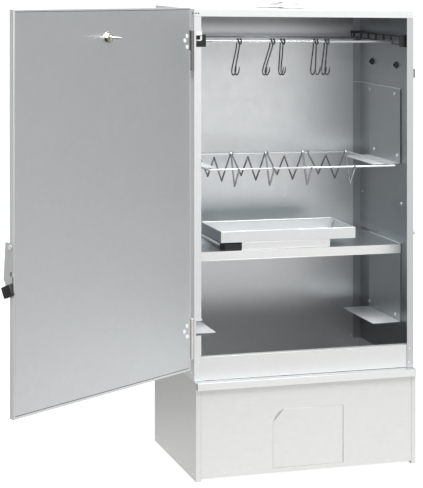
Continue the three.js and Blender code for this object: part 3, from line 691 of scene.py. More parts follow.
shell = Piece()
shell.rivets([(x, FLANGE_Y, z) for x, z in ((-239.5, 242.5), (-235.5, 239), (-240.5, 233),
                                            (236, 241.6), (234.7, 213))],
             FRONT, radius=2.0, height=0.45)
shell.rivets([(x, FLANGE_Y, 951.5) for x in (237, 233)], FRONT, radius=1.4, height=0.42)
for side in (-1, 1):
    inner, outer = side * WALL_INNER_X, side * WALL_OUTER_X
    inward, outward = (-side, 0, 0), (side, 0, 0)
    shell.rivets([(side * BRACKET_PLATE_X, y, z) for y, z in BRACKET_RIVETS],
                 inward, radius=4.0, height=2.4)
    shell.rivets([(inner, *LONE_RIVET)], inward, radius=3.6, height=2.6)
    shell.rivets([(inner, y, 540) for y in (-112, 128)], inward, radius=2.4, height=1.4)
    shell.rivets([(outer, y, 11.5) for y in (139, 49, -42, -128)],
                 outward, radius=2.2, height=1.1)
    shell.rivets([(outer, y, 215) for y in (-120, -40, 40, 128)],
                 outward, radius=2.6, height=1.3)
    shell.rivets([(outer, -112, 898), (outer, 126, 897)], outward, radius=2.8, height=1.4)
    shell.rivets([(outer, y, z) for y, z in BRACKET_RIVETS + [LONE_RIVET]],
                 outward, radius=2.6, height=1.3)
shell.rivets([(x, -BASE_Y, 12.5) for x in (-183, -45, 45, 183)], FRONT, radius=2.0, height=0.9)
shell.rivets([(64, -BASE_Y, 73)], FRONT, radius=1.5, height=0.8)
shell.rivets([(x, BASE_Y, 12.5) for x in range(-200, 201, 100)], BACK, radius=2.0, height=0.9)
shell.rivets([(x, 141.3, 208) for x in (221, -221)], FRONT, radius=2.6, height=1.3)
shell.rivets([(x, BACK_Y, z) for x in (-236, 236) for z in range(225, 916, 115)],
             BACK, radius=2.2, height=1.1)
shell.rivets([(x, BACK_Y, 934) for x in (-205, -70, 70, 205)], BACK, radius=2.2, height=1.1)
shell.rivets([(x, 120, 455.9) for x in (-205, -70, 70, 205)], UP, radius=2.4, height=1.1)
shell.make("shell_rivets", "rivet", "cabinet", "steel_fittings")

screws = Piece()
screws.rivets([(-WALL_OUTER_X, -127.6, 951)], LEFT, radius=2.4, height=0.9)
screws.rivets([(x, FLANGE_Y, 951.4) for x in (-241.3, -235.8)], FRONT, radius=1.6, height=0.42)
screws.make("corner_screws", "nut", "cabinet", "steel_fittings")

# ---- hanging rods -------------------------------------------------------------------------------
ROD_RADIUS = 3.0
ROD_HALF_LENGTH = 223.2
ROD_Z = 889 + 0.3 + ROD_RADIUS
ROD_FRONT_Y, ROD_REAR_Y = -90, 91
ROD_TIP = [(0, 0.8), (1.6, 0.8), (2.5, 0.3), (ROD_RADIUS, -0.6)]    # radius, reach past the end


def turned_rod(y):
    rod = Piece()
    profile = [(r, -ROD_HALF_LENGTH - reach) for r, reach in ROD_TIP]
    profile += [(r, ROD_HALF_LENGTH + reach) for r, reach in ROD_TIP[::-1]]
    rod.lathe(profile, (0, y, ROD_Z), RIGHT, 28)
    return rod


turned_rod(ROD_FRONT_Y).make("rod_front", "chrome", "front_rod", "chrome_wire",
                             "hanging_rod_front")
turned_rod(ROD_REAR_Y).make("rod_rear", "dark_rod", "rear_rod", "chrome_wire",
                            "hanging_rod_rear")

# ---- S-hooks: one wire looped over the front rod, with a pointed hook at each end ---------------
# x on the rod, half the spread of the two points, sideways lean at the bottom
HOOKS = [(-131.3, 3.6, -11.9), (-57.3, 3, -18.3), (-34.6, 2.6, -4.9), (40.6, 5.5, -5),
         (65.7, 4, -6.8)]
HOOK_BEND = 5.0                 # radius of the loop over the rod
HOOK_WIRE, HOOK_POINT = 1.35, 0.22      # radii
HOOK_TAPER = 12                 # path points from a tip to full thickness
# x, y, z of a lower hook from its foot's x and the rod's axis, starting at the tip
HOOK_FOOT = [(4.4, -14.6, -51.5), (3.8, -14, -55), (2.6, -12.6, -63.5), (1, -6, -70),
             (0, 1.5, -66.5)]


def hook_half(side, x, spread, lean):
    """From one tip up and over the rod."""
    y, z, bend = ROD_FRONT_Y, ROD_Z, HOOK_BEND
    top, foot = x + side * 3.2, x + side * spread + lean
    points = [(foot + dx, y + dy, z + dz) for dx, dy, dz in HOOK_FOOT]
    points += [(foot + (top - foot) * 0.1, y + 4, z - 56),
               (foot + (top - foot) * 0.85, y + bend, z - 15)]
    for degrees in range(0, 181, 30):
        a = math.radians(degrees)
        points.append((top, y + bend * math.cos(a), z + bend * math.sin(a)))
    return points + [(x + side * 2.6, y - bend, z - 4)]


for number, (x, spread, lean) in enumerate(HOOKS, 1):
    path = smooth_path(hook_half(-1, x, spread, lean)
                       + [(x, ROD_FRONT_Y - HOOK_BEND, ROD_Z - 6.2)]
                       + hook_half(1, x, spread, lean)[::-1], 7)
    from_tip = [min(k, len(path) - 1 - k) for k in range(len(path))]
    radii = [HOOK_POINT + (HOOK_WIRE - HOOK_POINT) * min(1.0, k / HOOK_TAPER) for k in from_tip]
    hook = Piece()
    hook.tube(path, radii, 10)
    hook.make("hook_wire_%d" % number, "wire", "hook_%d" % number, "steel_wire",
              "s_hook_%d" % number)

# ---- wire rack: a rectangular frame and four upright zigzags looped round it --------------------
RACK_X0, RACK_X1, RACK_Y0, RACK_Y1, RACK_Z = -211, 207, -130, 132, 630.6
# x, y, z from the front bar
FRONT_LOOP = [(0, 3.3, 0.4), (0, 1.9, 3.1), (0, -1.6, 3.1), (0.2, -3.3, 0.3), (0.2, -2.0, -3.6)]
# y, z from the back bar
BACK_LOOP = [(1.2, -3.2), (3.2, 0.3), (1.4, 3.1), (-1.8, 2.9), (-3.2, 0.2)]
# y, z along the zigzag
ZIGZAG = [(-109.5, 594.6), (-107.5, 592.9), (-105.5, 594.6), (-94, 625), (-82.5, 656.2),
          (-80.5, 658), (-78.5, 656.2), (-50, 623), (-24, 594.6), (-22, 592.9), (-20, 594.6),
          (3, 614), (26, 634.6), (28, 636), (30, 634.6), (52, 612), (71, 591.6), (73, 590),
          (75, 591.6), (104, 610)]

rack = Piece()
bar = [(-1, RACK_Y0), (RACK_X0, RACK_Y0), (RACK_X0, RACK_Y1), (RACK_X1, RACK_Y1),
       (RACK_X1, RACK_Y0), (1, RACK_Y0)]
rack.tube(fillet([(x, y, RACK_Z) for x, y in bar], 5, 6), 2.0, 14)
# a short sleeve over the frame's joint
rack.tube([(x, RACK_Y0, RACK_Z) for x in (-4, 0, 4)], 2.25, 14)
rack.make("rack_frame", "bar", "rack", "chrome_wire", "wire_rack")

zigzags = Piece()
for x in (-147, -70, 14, 112):
    path = [(x + dx, RACK_Y0 + dy, RACK_Z + dz) for dx, dy, dz in FRONT_LOOP]
    path += [(x + 0.3, -120, 611)] + [(x, y, z) for y, z in ZIGZAG]
    path += [(x, RACK_Y1 + dy, RACK_Z + dz) for dy, dz in BACK_LOOP]
    zigzags.tube(smooth_path(path, 5, tension=0.42), 1.75, 10)
zigzags.make("rack_zigzags", "zigzag", "rack", "chrome_wire")

# ---- chip tray: folded sheet with a rolled hem and lapped corners -------------------------------
TRAY_X0, TRAY_X1, TRAY_Y0, TRAY_Y1, TRAY_Z0, TRAY_Z1 = -171, 133, -88, 46, 472.3, 496
TRAY_SHEET = 0.8
TRAY_INSET = 0.2                # the walls stand in from the hem's outside
HEM_RADIUS = 1.0


def tray_corners(inset, z):
    x0, x1, y0, y1 = TRAY_X0 + inset, TRAY_X1 - inset, TRAY_Y0 + inset, TRAY_Y1 - inset
    return [(x0, y0, z), (x1, y0, z), (x1, y1, z), (x0, y1, z)]


tray = Piece()
tray_top = TRAY_Z1 - 0.3
tray.add(tray_corners(TRAY_INSET, TRAY_Z0) + tray_corners(TRAY_INSET, tray_top)
         + tray_corners(TRAY_INSET + TRAY_SHEET, tray_top)
         + tray_corners(TRAY_INSET + TRAY_SHEET, TRAY_Z0 + TRAY_SHEET),
         [(3, 2, 1, 0)] + bands(4, 4) + [(12, 13, 14, 15)])
tray.make("tray_body", "tray", "tray", "galvanised_sheet", "chip_tray", bevel=0.7, segments=3)

hem = Piece()
hem.tube(level_loop(TRAY_X0 + HEM_RADIUS, TRAY_X1 - HEM_RADIUS, TRAY_Y0 + HEM_RADIUS,
                    TRAY_Y1 - HEM_RADIUS, TRAY_Z1 - HEM_RADIUS, 2.2), HEM_RADIUS, 10)
# at each corner a folded three-cornered ear lies against the end wall inside
for end_x, sx in ((TRAY_X0, 1), (TRAY_X1, -1)):
    for end_y, sy in ((TRAY_Y0, 1), (TRAY_Y1, -1)):
        x, y = end_x + sx * 1.4, end_y + sy * 1.3
        ear = [(y, TRAY_Z0 + 1.2), (y, TRAY_Z1 - 2.2), (y + sy * 17, TRAY_Z1 - 2.2)]
        hem.add([(x + t, *p) for t in (0, sx * TRAY_SHEET) for p in ear],
                [(0, 1, 2), (5, 4, 3), (0, 3, 4, 1), (1, 4, 5, 2), (2, 5, 3, 0)])
hem.make("tray_hem", "lip", "tray", "galvanised_sheet")

# ---- sawdust pan rim ----------------------------------------------------------------------------
rim = Piece()
rim.tube(level_loop(-69.2, 69.2, -109.2, -10.8, 31.2, 4), 0.8, 8)
rim.make("ash_pan_rim", "pan", "ash_pan", "pan_steel")

# ---- thermometer; its profiles are (radius, y) about an axis running front to back --------------
THERMO_X, THERMO_Z = -3, 907
THERMO_AXIS = ((THERMO_X, 0, THERMO_Z), BACK)
DIAL_START, DIAL_SWEEP = -125, 270      # degrees, clockwise from the top
DIAL_NUMBERS = ("0", "50", "100", "150", "200", "250", "300")


def dial_point(angle, radius):
    return THERMO_X + radius * math.sin(angle), THERMO_Z + radius * math.cos(angle)


bezel = Piece(on_door)
bezel.lathe([(0, -149.5), (22.5, -149.5), (24.6, -149.9), (25.8, -150.8), (26, -152),
             (26, -155.4), (25.7, -156.8), (24.9, -158.2), (23.9, -158.95), (23.2, -158.9),
             (22.9, -158.3), (23.0, -157.4), (23.0, -151.4), (0, -151.4)], *THERMO_AXIS, 56)
bezel.make("thermometer_bezel", "nickel", "door", "nickel", "thermometer_case")

dial = Piece(on_door)
dial.lathe([(0, -151.45), (22.6, -151.45), (22.8, -151.7), (22.8, -152.4), (22.5, -152.6),
            (0, -152.6)], *THERMO_AXIS, 56)
dial.make("thermometer_face", "dial", "door", "dial_white", "thermometer_dial")

marks = Piece(on_door)
for k in range(61):
    angle = math.radians(DIAL_START + DIAL_SWEEP * k / 60)
    inner = 17.2 if k % 10 == 0 else (18.6 if k % 5 == 0 else 19.6)
    half_width = 0.42 if k % 10 == 0 else 0.24
    marks.prism(tick_outline(THERMO_X, THERMO_Z, angle, inner, 21.2, half_width),
                "y", -152.5, -152.75)
marks.lathe([(0, -0.4), (2.6, -0.4), (2.6, 0.35), (2.45, 0.5), (0, 0.5)],
            (THERMO_X, -152.5, THERMO_Z), FRONT, 20)
marks.make("thermometer_marks", "ink", "door", "needle_black")


def dial_number(text, x, z):
    """Raised lettering on the dial."""
    curve = bpy.data.curves.new("number_" + text, "FONT")
    curve.body = text
    curve.size = 0.0042
    curve.align_x = curve.align_y = "CENTER"
    curve.extrude = 0.00008
    source = bpy.data.objects.new("number_src", curve)
    bpy.context.scene.collection.objects.link(source)
    bpy.context.view_layer.update()
    depsgraph = bpy.context.evaluated_depsgraph_get()
    mesh = bpy.data.meshes.new_from_object(source.evaluated_get(depsgraph))
    bpy.data.objects.remove(source)
    bm = bmesh.new()
    bm.from_mesh(mesh)
    bmesh.ops.remove_doubles(bm, verts=bm.verts, dist=1e-7)
    for v in bm.verts:
        across, up, out = v.co
        v.co = on_door(x + across / MM, -152.68 - out / MM, z + up / MM)
    bmesh.ops.recalc_face_normals(bm, faces=bm.faces)
    bm.to_mesh(mesh)
    bm.free()
    mesh.name = "dial_number_" + text
    mesh.materials.clear()
    mesh.materials.append(MATERIALS["ink"])
    obj = bpy.data.objects.new("dial_number_" + text, mesh)
    bpy.context.scene.collection.objects.link(obj)
    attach(obj, "door")


for k, text in enumerate(DIAL_NUMBERS):
    angle = math.radians(DIAL_START + DIAL_SWEEP / (len(DIAL_NUMBERS) - 1) * k)
    dial_number(text, *dial_point(angle, 13.6))

hand = Piece(on_door)
hand.lathe([(1.15, -153.35), (2.7, -153.35), (3.0, -153.6), (3.0, -154.0), (2.5, -154.25),
            (1.15, -154.25)], *THERMO_AXIS, 28)
rest = math.radians(DIAL_START)
pointer = [(-0.30, 2.6), (-0.045, 17.5), (0, 19.2), (0.045, 17.5), (0.30, 2.6)]  # angle, radius
counterweight = [(-0.5, 2.6), (-0.22, 7.2), (0.22, 7.2), (0.5, 2.6)]
for turn, outline in ((rest, pointer), (rest + math.pi, counterweight)):
    hand.prism([dial_point(turn + a, r) for a, r in outline], "y", -153.5, -154.05)
hand.make("thermometer_hand", "needle", "needle", "needle_black", "thermometer_needle")

lens = Piece(on_door)
lens.lathe([(0, -156.3), (22.7, -156.3), (22.7, -157.3), (20, -157.55), (12, -157.75),
            (0, -157.85)], *THERMO_AXIS, 56)
lens.make("thermometer_glass", "glass", "door", "glass", "thermometer_lens")

THREAD_RADIUS, THREAD_ROOT, THREAD_PITCH = 4.6, 4.25, 1.25
stem = Piece(on_door)
profile = [(0, -149.3), (THREAD_RADIUS, -149.3)]
for k in range(14):
    y = -148 + k * THREAD_PITCH
    profile += [(THREAD_RADIUS, y), (THREAD_ROOT, y + 0.62)]
profile += [(THREAD_RADIUS, -130.6), (4.2, -130.2), (2.4, -129.8), (2.2, -129.2),
            (2.2, -106.2), (1.9, -104.8), (1.2, -104.0), (0, -103.8)]
stem.lathe(profile, *THERMO_AXIS, 24)
stem.make("thermometer_probe", "nickel", "door", "nickel", "thermometer_stem")

nut = Piece(on_door)
nut.lathe([(4.9, -138.3), (8.9, -138.3), (9.8, -137.7), (9.8, -132.9), (8.9, -132.3),
           (4.9, -132.3)], *THERMO_AXIS, 6)
nut.make("thermometer_hexnut", "nickel", "door", "nickel", "thermometer_nut", smooth=20)
washer = Piece(on_door)
washer.lathe([(4.9, -138.7), (11.6, -138.7), (12, -138.4), (11.6, -138.0), (4.9, -138.0)],
             *THERMO_AXIS, 36)
washer.make("thermometer_washer", "nickel", "door", "nickel")

# ---- latch grip: a tilted rounded block ---------------------------------------------------------
GRIP_Y, GRIP_Z, GRIP_TILT = -146.0, 456.3, math.radians(-24)
GRIP_LAYERS = [(248.5, 0.94), (249.2, 1.0), (255.0, 1.0), (256.0, 0.96), (256.5, 0.86)]  # x, scale
c, s = math.cos(GRIP_TILT), math.sin(GRIP_TILT)
outline = [(u * c - w * s, u * s + w * c)
           for u, w in rounded_box(-11.6, 11.6, -10.6, 10.6, 2.2, 5)]
n = len(outline)
grip = Piece(on_door)
grip.add([(x, GRIP_Y - u * scale, GRIP_Z + w * scale)
          for x, scale in GRIP_LAYERS for u, w in outline],
         [tuple(range(n))[::-1], tuple(range(n * 4, n * 5))] + bands(len(GRIP_LAYERS), n))
grip.make("latch_handle_grip", "plastic", "latch", "black_plastic", "latch_grip", smooth=40)

# ---- heating element, lead, cord and plug -------------------------------------------------------
HEATER_Z = 463.5
CABLE_RADIUS = 3.4
BOX_X, BOX_Z = -150, 465        # middle of the control box
COIL = [(-133, -76), (58, -76), (60, -47), (-84, -46), (-84, -19), (60, -18), (60, 13),
        (-104, 13), (-106, -61), (-133, -62)]                                      # x, y
CORD = [(-150, 165, 440), (-150, 165, 400), (-149, 168, 330), (-146, 172, 220), (-142, 176, 120),
        (-132, 180, 45), (-108, 183, 12), (-70, 184, 3.8), (-10, 182, 3.8), (40, 180, 6),
        (70, 180, 14), (92, 180, 18.4), (104, 180, 18.4)]                          # x, y, z

coil = Piece()
coil.tube(fillet([(x, y, HEATER_Z) for x, y in COIL], 12, 9), 3.1, 14)
coil.make("heater_coil", "sheath", "cabinet", "heater_sheath", "heating_element")

lead = Piece()
lead.tube([(BOX_X, y, HEATER_Z) for y in (-60, 0, 80, 150)], CABLE_RADIUS, 18, round_ends=False)
# the grommet in the back wall
lead.lathe([(3.3, 138.0), (6.2, 138.0), (6.6, 138.4), (6.6, 140.6), (4.9, 141.2), (4.9, 142.4),
            (3.3, 142.4)], (BOX_X, 0, HEATER_Z), BACK, 24)
lead.make("heater_cable", "rubber", "cabinet", "cable", "heater_lead")

cord = Piece()
cord.tube(smooth_path(CORD, 9), CABLE_RADIUS, 14, round_ends=False)
# the stepped sleeve under the control box
cord.lathe([(3.3, 424.8), (7.2, 424.8), (7.6, 424.2), (7.6, 422.4), (6.6, 421.6), (5.6, 421.2),
            (5.6, 419.6), (5.3, 419.2), (5.3, 417.0), (5.0, 416.6), (5.0, 414.4), (4.7, 414.0),
            (4.7, 411.8), (4.3, 411.2), (4.3, 408), (3.3, 407.6)], (BOX_X, 165, 0), UP, 24)
cord.make("mains_cord", "rubber", "cabinet", "cable", "power_cord")

PLUG_Y, PLUG_Z = 180, 18.4
plug = Piece()
profile = [(0, 104.2), (4.6, 104.2)]
for k in range(5):              # ribs, widening towards the plug's body
    x, r = 105 + k * 3.0, 5.4 + k * 0.9
    profile += [(r, x), (r + 0.5, x + 0.4), (r + 0.5, x + 1.8), (r - 0.2, x + 2.2),
                (r - 0.2, x + 2.8)]
profile += [(10.5, 120.4), (15.5, 122), (17.6, 124.5), (18, 127.5), (18, 138.8), (17.4, 140.6),
            (15.8, 141.5), (0, 141.5)]
plug.lathe(profile, (0, PLUG_Y, PLUG_Z), RIGHT, 36)
for dy in (-9.5, 9.5):
    plug.lathe([(0, 140.5), (2.4, 140.5), (2.4, 158.2), (1.9, 159.6), (1.0, 160), (0, 160)],
               (0, PLUG_Y + dy, PLUG_Z), RIGHT, 20)
plug.make("mains_plug", "plastic", "cabinet", "black_plastic", "power_plug")

# ---- control box: screws, scale, lamp and knob on its back face ---------------------------------
KNOB_Z = 478
SCREW_REACH = 33.5

screws = Piece()
for x in (BOX_X - SCREW_REACH, BOX_X + SCREW_REACH):
    for z in (BOX_Z - SCREW_REACH, BOX_Z + SCREW_REACH):
        screws.lathe([(0, 183.6), (2.7, 183.6), (2.7, 184.5), (2.2, 184.95), (0, 185.1)],
                     (x, 0, z), BACK, 20)
screws.make("control_box_screws", "fitting", "cabinet", "steel_fittings")

scale = Piece()
for k in range(11):
    angle = math.radians(-135 + 27 * k)
    outer = 24 if k % 5 else 25.5
    scale.prism(tick_outline(BOX_X, KNOB_Z, angle, 20.5, outer, 0.5, mirror=-1),
                "y", 183.9, 184.15)
scale.make("thermostat_scale", "pale_ink", "cabinet", "dial_white")

lamp = Piece()
lamp.lathe([(0, 183.5), (5.2, 183.5), (5.2, 184.6), (4.6, 185.0), (4.4, 185.6), (3.6, 186.8),
            (2.2, 187.6), (0, 187.9)], (BOX_X, 0, 438), BACK, 28)
lamp.make("heating_lamp", "lamp", "cabinet", "dial_white")

KNOB_SEGMENTS, KNOB_FLUTES = 72, 18
# y, radius, flute depth
KNOB_ROWS = [(184.3, 18.0, 0), (186.4, 18.0, 0), (187.2, 17.2, 0), (188.0, 14.4, 0.0),
             (189.0, 14.1, 0.45), (198.0, 13.4, 0.45), (199.1, 12.9, 0.3), (199.6, 12.0, 0.0)]
vertices = []
for y, radius, flute in KNOB_ROWS:
    for k in range(KNOB_SEGMENTS):
        a = 2 * math.pi * k / KNOB_SEGMENTS
        r = radius - flute * (0.5 - 0.5 * math.cos(a * KNOB_FLUTES))
        vertices.append((BOX_X + r * math.sin(a), y, KNOB_Z + r * math.cos(a)))
n = len(vertices)
knob = Piece()
knob.add(vertices, [tuple(range(KNOB_SEGMENTS)), tuple(range(n - KNOB_SEGMENTS, n))[::-1]]
         + bands(len(KNOB_ROWS), KNOB_SEGMENTS))
knob.lathe([(0, 172), (3.2, 172), (3.2, 185), (0, 185)], (BOX_X, 0, KNOB_Z), BACK, 20)
knob.make("thermostat_dial_knob", "plastic", "knob", "black_plastic", "thermostat_knob",
          smooth=50)
mark = Piece()
mark.prism([(BOX_X - 0.7, KNOB_Z + 1), (BOX_X + 0.7, KNOB_Z + 1), (BOX_X + 0.7, KNOB_Z + 12.5),
            (BOX_X - 0.7, KNOB_Z + 12.5)], "y", 199.4, 199.95)
mark.make("thermostat_pointer", "pale_ink", "knob", "dial_white")

# ---- brackets: the folded top hem, carried round the rear corner, and the ledge hems, bright as painted highlight; painted shadow lines down the free edges ---
BRACKET_X, BRACKET_TOP, BRACKET_FRONT = 242.6, 789.7, -77.4
hems = Piece()
front_edges = Piece()
for side in (-1, 1):
    x = side * BRACKET_X
    hems.tube(fillet([(x, BRACKET_FRONT, BRACKET_TOP), (x, 60, BRACKET_TOP),
                      (x, 135.2, BRACKET_TOP), (side * 225, 135.2, BRACKET_TOP)], 3.0, 5),
              1.15, 10)
    for ledge_z in (627.65, 284.6):
        hems.tube([(side * 178.6, y, ledge_z) for y in (BRACKET_FRONT, 0, 87.4)], 0.75, 8)
    front_edges.tube([(x, -77.9, z) for z in (629, 710, 787.6)], 0.6, 8)
hems.make("bracket_hems", "lip_bright", "cabinet", "galvanised_sheet")
front_edges.make("bracket_front_shadow_lines", "seam", "cabinet", "black_paint")

# ---- the flange's bent-in tabs beside its two notches, and the light clip on the rod rail -------
tabs = Piece()
for z0, z1 in ((906.3, 915), (325.2, 328)):
    tabs.prism([(-241, z0), (-228, z0), (-228, z1), (-241, z1)], "y", FLANGE_Y, -137.1)
tabs.make("flange_tabs", "tab", "cabinet", "galvanised_sheet")
clip = Piece()
clip.prism([(-238.2, 894.6), (-228.2, 894.6), (-225.9, 897.4), (-225.9, 904.4), (-229.9, 904.4),
            (-229.9, 897.2), (-238.2, 897.2)], "y", -130.5, -129.7)
clip.make("rail_clip", "lip_bright", "cabinet", "galvanised_sheet", bevel=0.2)

# ---- shadow lines down the front-left of the door hinges' barrels -------------------------------
HINGE_SPANS = {"cabinet": ((834.5, 875.3), (248, 288.8)), "door": ((875.7, 916.5), (289.2, 330))}
ASIDE, AHEAD = 2.95, 2.2        # from the hinge axis, across and towards the front left
AIM_X, AIM_Y = 0.302, 0.953     # the opposite of the way the lines face
for body, spans in HINGE_SPANS.items():
    lines = Piece()
    for z0, z1 in spans:
        for k in (-1, 1):
            x = HINGE[0] + k * AIM_Y * ASIDE - AIM_X * AHEAD
            y = HINGE[1] - k * AIM_X * ASIDE - AIM_Y * AHEAD
            lines.tube([(x, y, z) for z in (z0 + 0.6, (z0 + z1) / 2, z1 - 0.6)], 0.42, 8)
    lines.make("hinge_shadow_lines_" + body, "seam", body, "black_paint")

shelf_hem = Piece()
shelf_hem.tube([(x, -92.3, 437.8) for x in (-235.6, 0, 235.6)], 0.85, 10)
shelf_hem.make("shelf_hem", "lip", "cabinet", "galvanised_sheet")

# ---- the fold along the door's free edge, bright as a painted highlight, and painted shadow lines in the joints above and below ---
fold = Piece(on_door)
fold.tube([(244.3, DOOR_INNER_Y - 0.15, z) for z in (228, 600, 961.5)], 0.68, 10)
fold.make("door_edge_fold_highlight", "lip_bright", "door", "galvanised_sheet")
joint = Piece(on_door)
for z in (230.4, 958.6):
    joint.prism(rounded_box(-241.4, 241.4, z - 0.55, z + 0.55, 0.4, 3), "y",
                DOOR_INNER_Y - 0.6, DOOR_INNER_Y + 0.12)
joint.make("door_joint_shadow_lines", "seam", "door", "black_paint")

# ---- carry handles: bent straps with cap screws outside, washers and nuts inside ----------------
HANDLE_Y0, HANDLE_Y1 = -55, 73          # the bolts
STRAP_Z, BOLT_Z = 821.5, 840
STRAP_HALF_WIDTH = 9.5
FOOT_X = 245.4
# x, distance beyond the bolts: the strap's outer outline, then its inner one
STRAP_OUTER = [(FOOT_X, 10.6), (249.2, 10.6), (289.1, 0.6)]
STRAP_INNER = [(FOOT_X, 7), (248.6, 7), (285.0, -2.8)]


def carry_handle(side, tag):
    strap = Piece()
    outline = [(x, HANDLE_Y0 - reach, 0) for x, reach in STRAP_OUTER]
    outline += [(x, HANDLE_Y1 + reach, 0) for x, reach in STRAP_OUTER[::-1]]
    outline += [(x, HANDLE_Y1 + reach, 0) for x, reach in STRAP_INNER]
    outline += [(x, HANDLE_Y0 - reach, 0) for x, reach in STRAP_INNER[::-1]]
    arc = fillet(outline + outline[:1], 3.0, 4)[:-1]
    strap.prism([(side * v.x, v.y) for v in arc], "z",
                STRAP_Z - STRAP_HALF_WIDTH, STRAP_Z + STRAP_HALF_WIDTH)
    for y in (HANDLE_Y0, HANDLE_Y1):
        plate = rounded_box(-10.8, 10.8, -15.2, 15.2, 4.0, 5)
        strap.prism([(y + p[0], STRAP_Z + 4.5 + p[1]) for p in plate], "x",
                    side * 245.35, side * 249.3)
    strap.make("carry_handle_" + tag, "handle", "cabinet", "handle_grey", "side_handle_" + tag,
               bevel=1.1, segments=3, smooth=40)


def handle_bolts(side, tag):
    bolts = Piece()
    for y in (HANDLE_Y0, HANDLE_Y1):
        axis = (side * WALL_OUTER_X, y, BOLT_Z), (side, 0, 0)
        # in order: head with its socket, shank, nut, washer
        bolts.lathe([(0, 3.8), (5.0, 3.8), (5.0, 5.6), (4.4, 6.6), (3.2, 7.0), (2.4, 7.0),
                     (2.4, 5.9), (0, 5.9)], *axis, 24)
        bolts.lathe([(0, -8.9), (2.3, -8.9), (2.7, -8.4), (2.7, 4.5), (0, 4.5)], *axis, 20)
        bolts.lathe([(2.6, -6.4), (5.4, -6.4), (6.1, -5.9), (6.1, -2.2), (2.6, -2.2)],
                    *axis, 6, turn=0.3)
        bolts.lathe([(2.6, -2.2), (7.4, -2.2), (7.6, -1.9), (7.6, -1.2), (2.6, -1.2)], *axis, 30)
    bolts.make("handle_bolts_" + tag, "nut", "cabinet", "steel_fittings")


for side, tag in ((1, "right"), (-1, "left")):
    carry_handle(side, tag)
    handle_bolts(side, tag)

# ---- studio floor: plain to the camera, a painted glow to everything else -----------------------
# brightness seen in reflections by distance in metres, towards each side of the cabinet
FLOOR_REACH = 26.0
FRONT_TONE = [(0.0, 0.86), (0.85, 0.84), (1.1, 0.62), (1.3, 0.54), (1.5, 0.52), (2.2, 0.62),
              (2.5, 0.72), (3.3, 0.84), (3.9, 0.68), (5.2, 1.0), (7.5, 1.0), (14.0, 1.0),
              (19.0, 1.0), (26.0, 0.35)]
RIGHT_TONE = [(0.0, 0.86), (0.9, 0.86), (1.6, 0.66), (3.0, 0.52), (8.0, 0.42), (26.0, 0.38)]
BACK_TONE = [(0.0, 0.36), (1.0, 0.42), (3.0, 0.55), (26.0, 0.60)]
LEFT_TONE = [(0.0, 0.5), (0.85, 0.2), (1.2, 0.0), (1.6, 0.02), (2.2, 0.10), (3.2, 0.18),
             (4.8, 0.30), (7.5, 0.44), (12.0, 0.50), (26.0, 0.30)]


def floor_material():
    m = Material("studio_floor")
    position = m.node("ShaderNodeNewGeometry").outputs["Position"]
    x, y, _ = m.node("ShaderNodeSeparateXYZ", {0: position}).outputs
    radius = m.math("SQRT", m.math("ADD", m.math("POWER", x, 2.0), m.math("POWER", y, 2.0)))
    far = m.math("DIVIDE", radius, FLOOR_REACH)
    tone, right_tone, back_tone, left_tone = [
        m.ramp(far, [(distance / FLOOR_REACH, grey) for distance, grey in stops])
        for stops in (FRONT_TONE, RIGHT_TONE, BACK_TONE, LEFT_TONE)]
    aside = m.math("DIVIDE", x, m.math("ADD", radius, 0.001))
    left = m.map_range(aside, (-0.22, 0.02), (1.0, 0.0), smooth=True)
    front = m.map_range(y, (-1.0, -0.5), (1.0, 0.0), smooth=True)
    back = m.map_range(y, (0.0, 0.8), (0.0, 1.0), smooth=True)
    tone = m.mix(m.math("MULTIPLY", left, front), tone, left_tone)
    right = m.map_range(aside, (0.62, 0.86), (0.0, 1.0), smooth=True)
    tone = m.mix(right, tone, right_tone)
    tone = m.mix(back, tone, back_tone)
    camera_ray = m.node("ShaderNodeLightPath").outputs["Is Camera Ray"]
    grain = m.noise(m.coords(), scale=3.0, detail=2.0)
    tone = m.tint(tone, (1.0, 0.995, 0.985))
    tone = m.tint(tone, m.map_range(grain, (0.0, 1.0), (0.985, 1.0)))
    # brighter far out in front, except to the left
    boost = m.math("MULTIPLY", m.map_range(y, (-3.0, -6.0), (0.0, 1.0)),
                   m.math("SUBTRACT", 1.0, left))
    strength = m.math("ADD", 1.0, m.math("MULTIPLY", boost, 0.3))
    reflected = m.node("ShaderNodeEmission", {"Color": tone, "Strength": strength})
    matt = m.node("ShaderNodeBsdfDiffuse", {"Color": (0.5, 0.5, 0.5)})
    glow = m.node("ShaderNodeEmission", {"Color": (1, 1, 1), "Strength": 0.72})
    seen = m.node("ShaderNodeAddShader", {0: matt.outputs[0], 1: glow.outputs[0]})
    m.surface(m.node("ShaderNodeMixShader", {
        0: camera_ray, 1: reflected.outputs[0], 2: seen.outputs[0]}))
    m.material.cycles.emission_sampling = "NONE"
    return m.material


def build_floor():
    bm = bmesh.new()
    bmesh.ops.create_grid(bm, x_segments=8, y_segments=8, size=400)
    mesh = bpy.data.meshes.new("studio_floor")
    bm.to_mesh(mesh)
    bm.free()
    floor = bpy.data.objects.new("studio_floor", mesh)
    floor.location = (0, 0, -FOOT * MM)
    bpy.context.scene.collection.objects.link(floor)
    mesh.materials.append(floor_material())


# ---- world: brightness by direction, one even white to the camera -------------------------------
SKY_BASE = 0.46
SKY_FRONT = 0.04                # added towards the front
SKY_HORIZON = 0.26              # taken off low in front
SKY_LEFT = 0.04                 # taken off low on the front's left
SKY_RIGHT = 0.08                # taken off low on the right
SKY_UP = 0.55                   # added overhead
SKY_SEEN = 1.02                 # to the camera


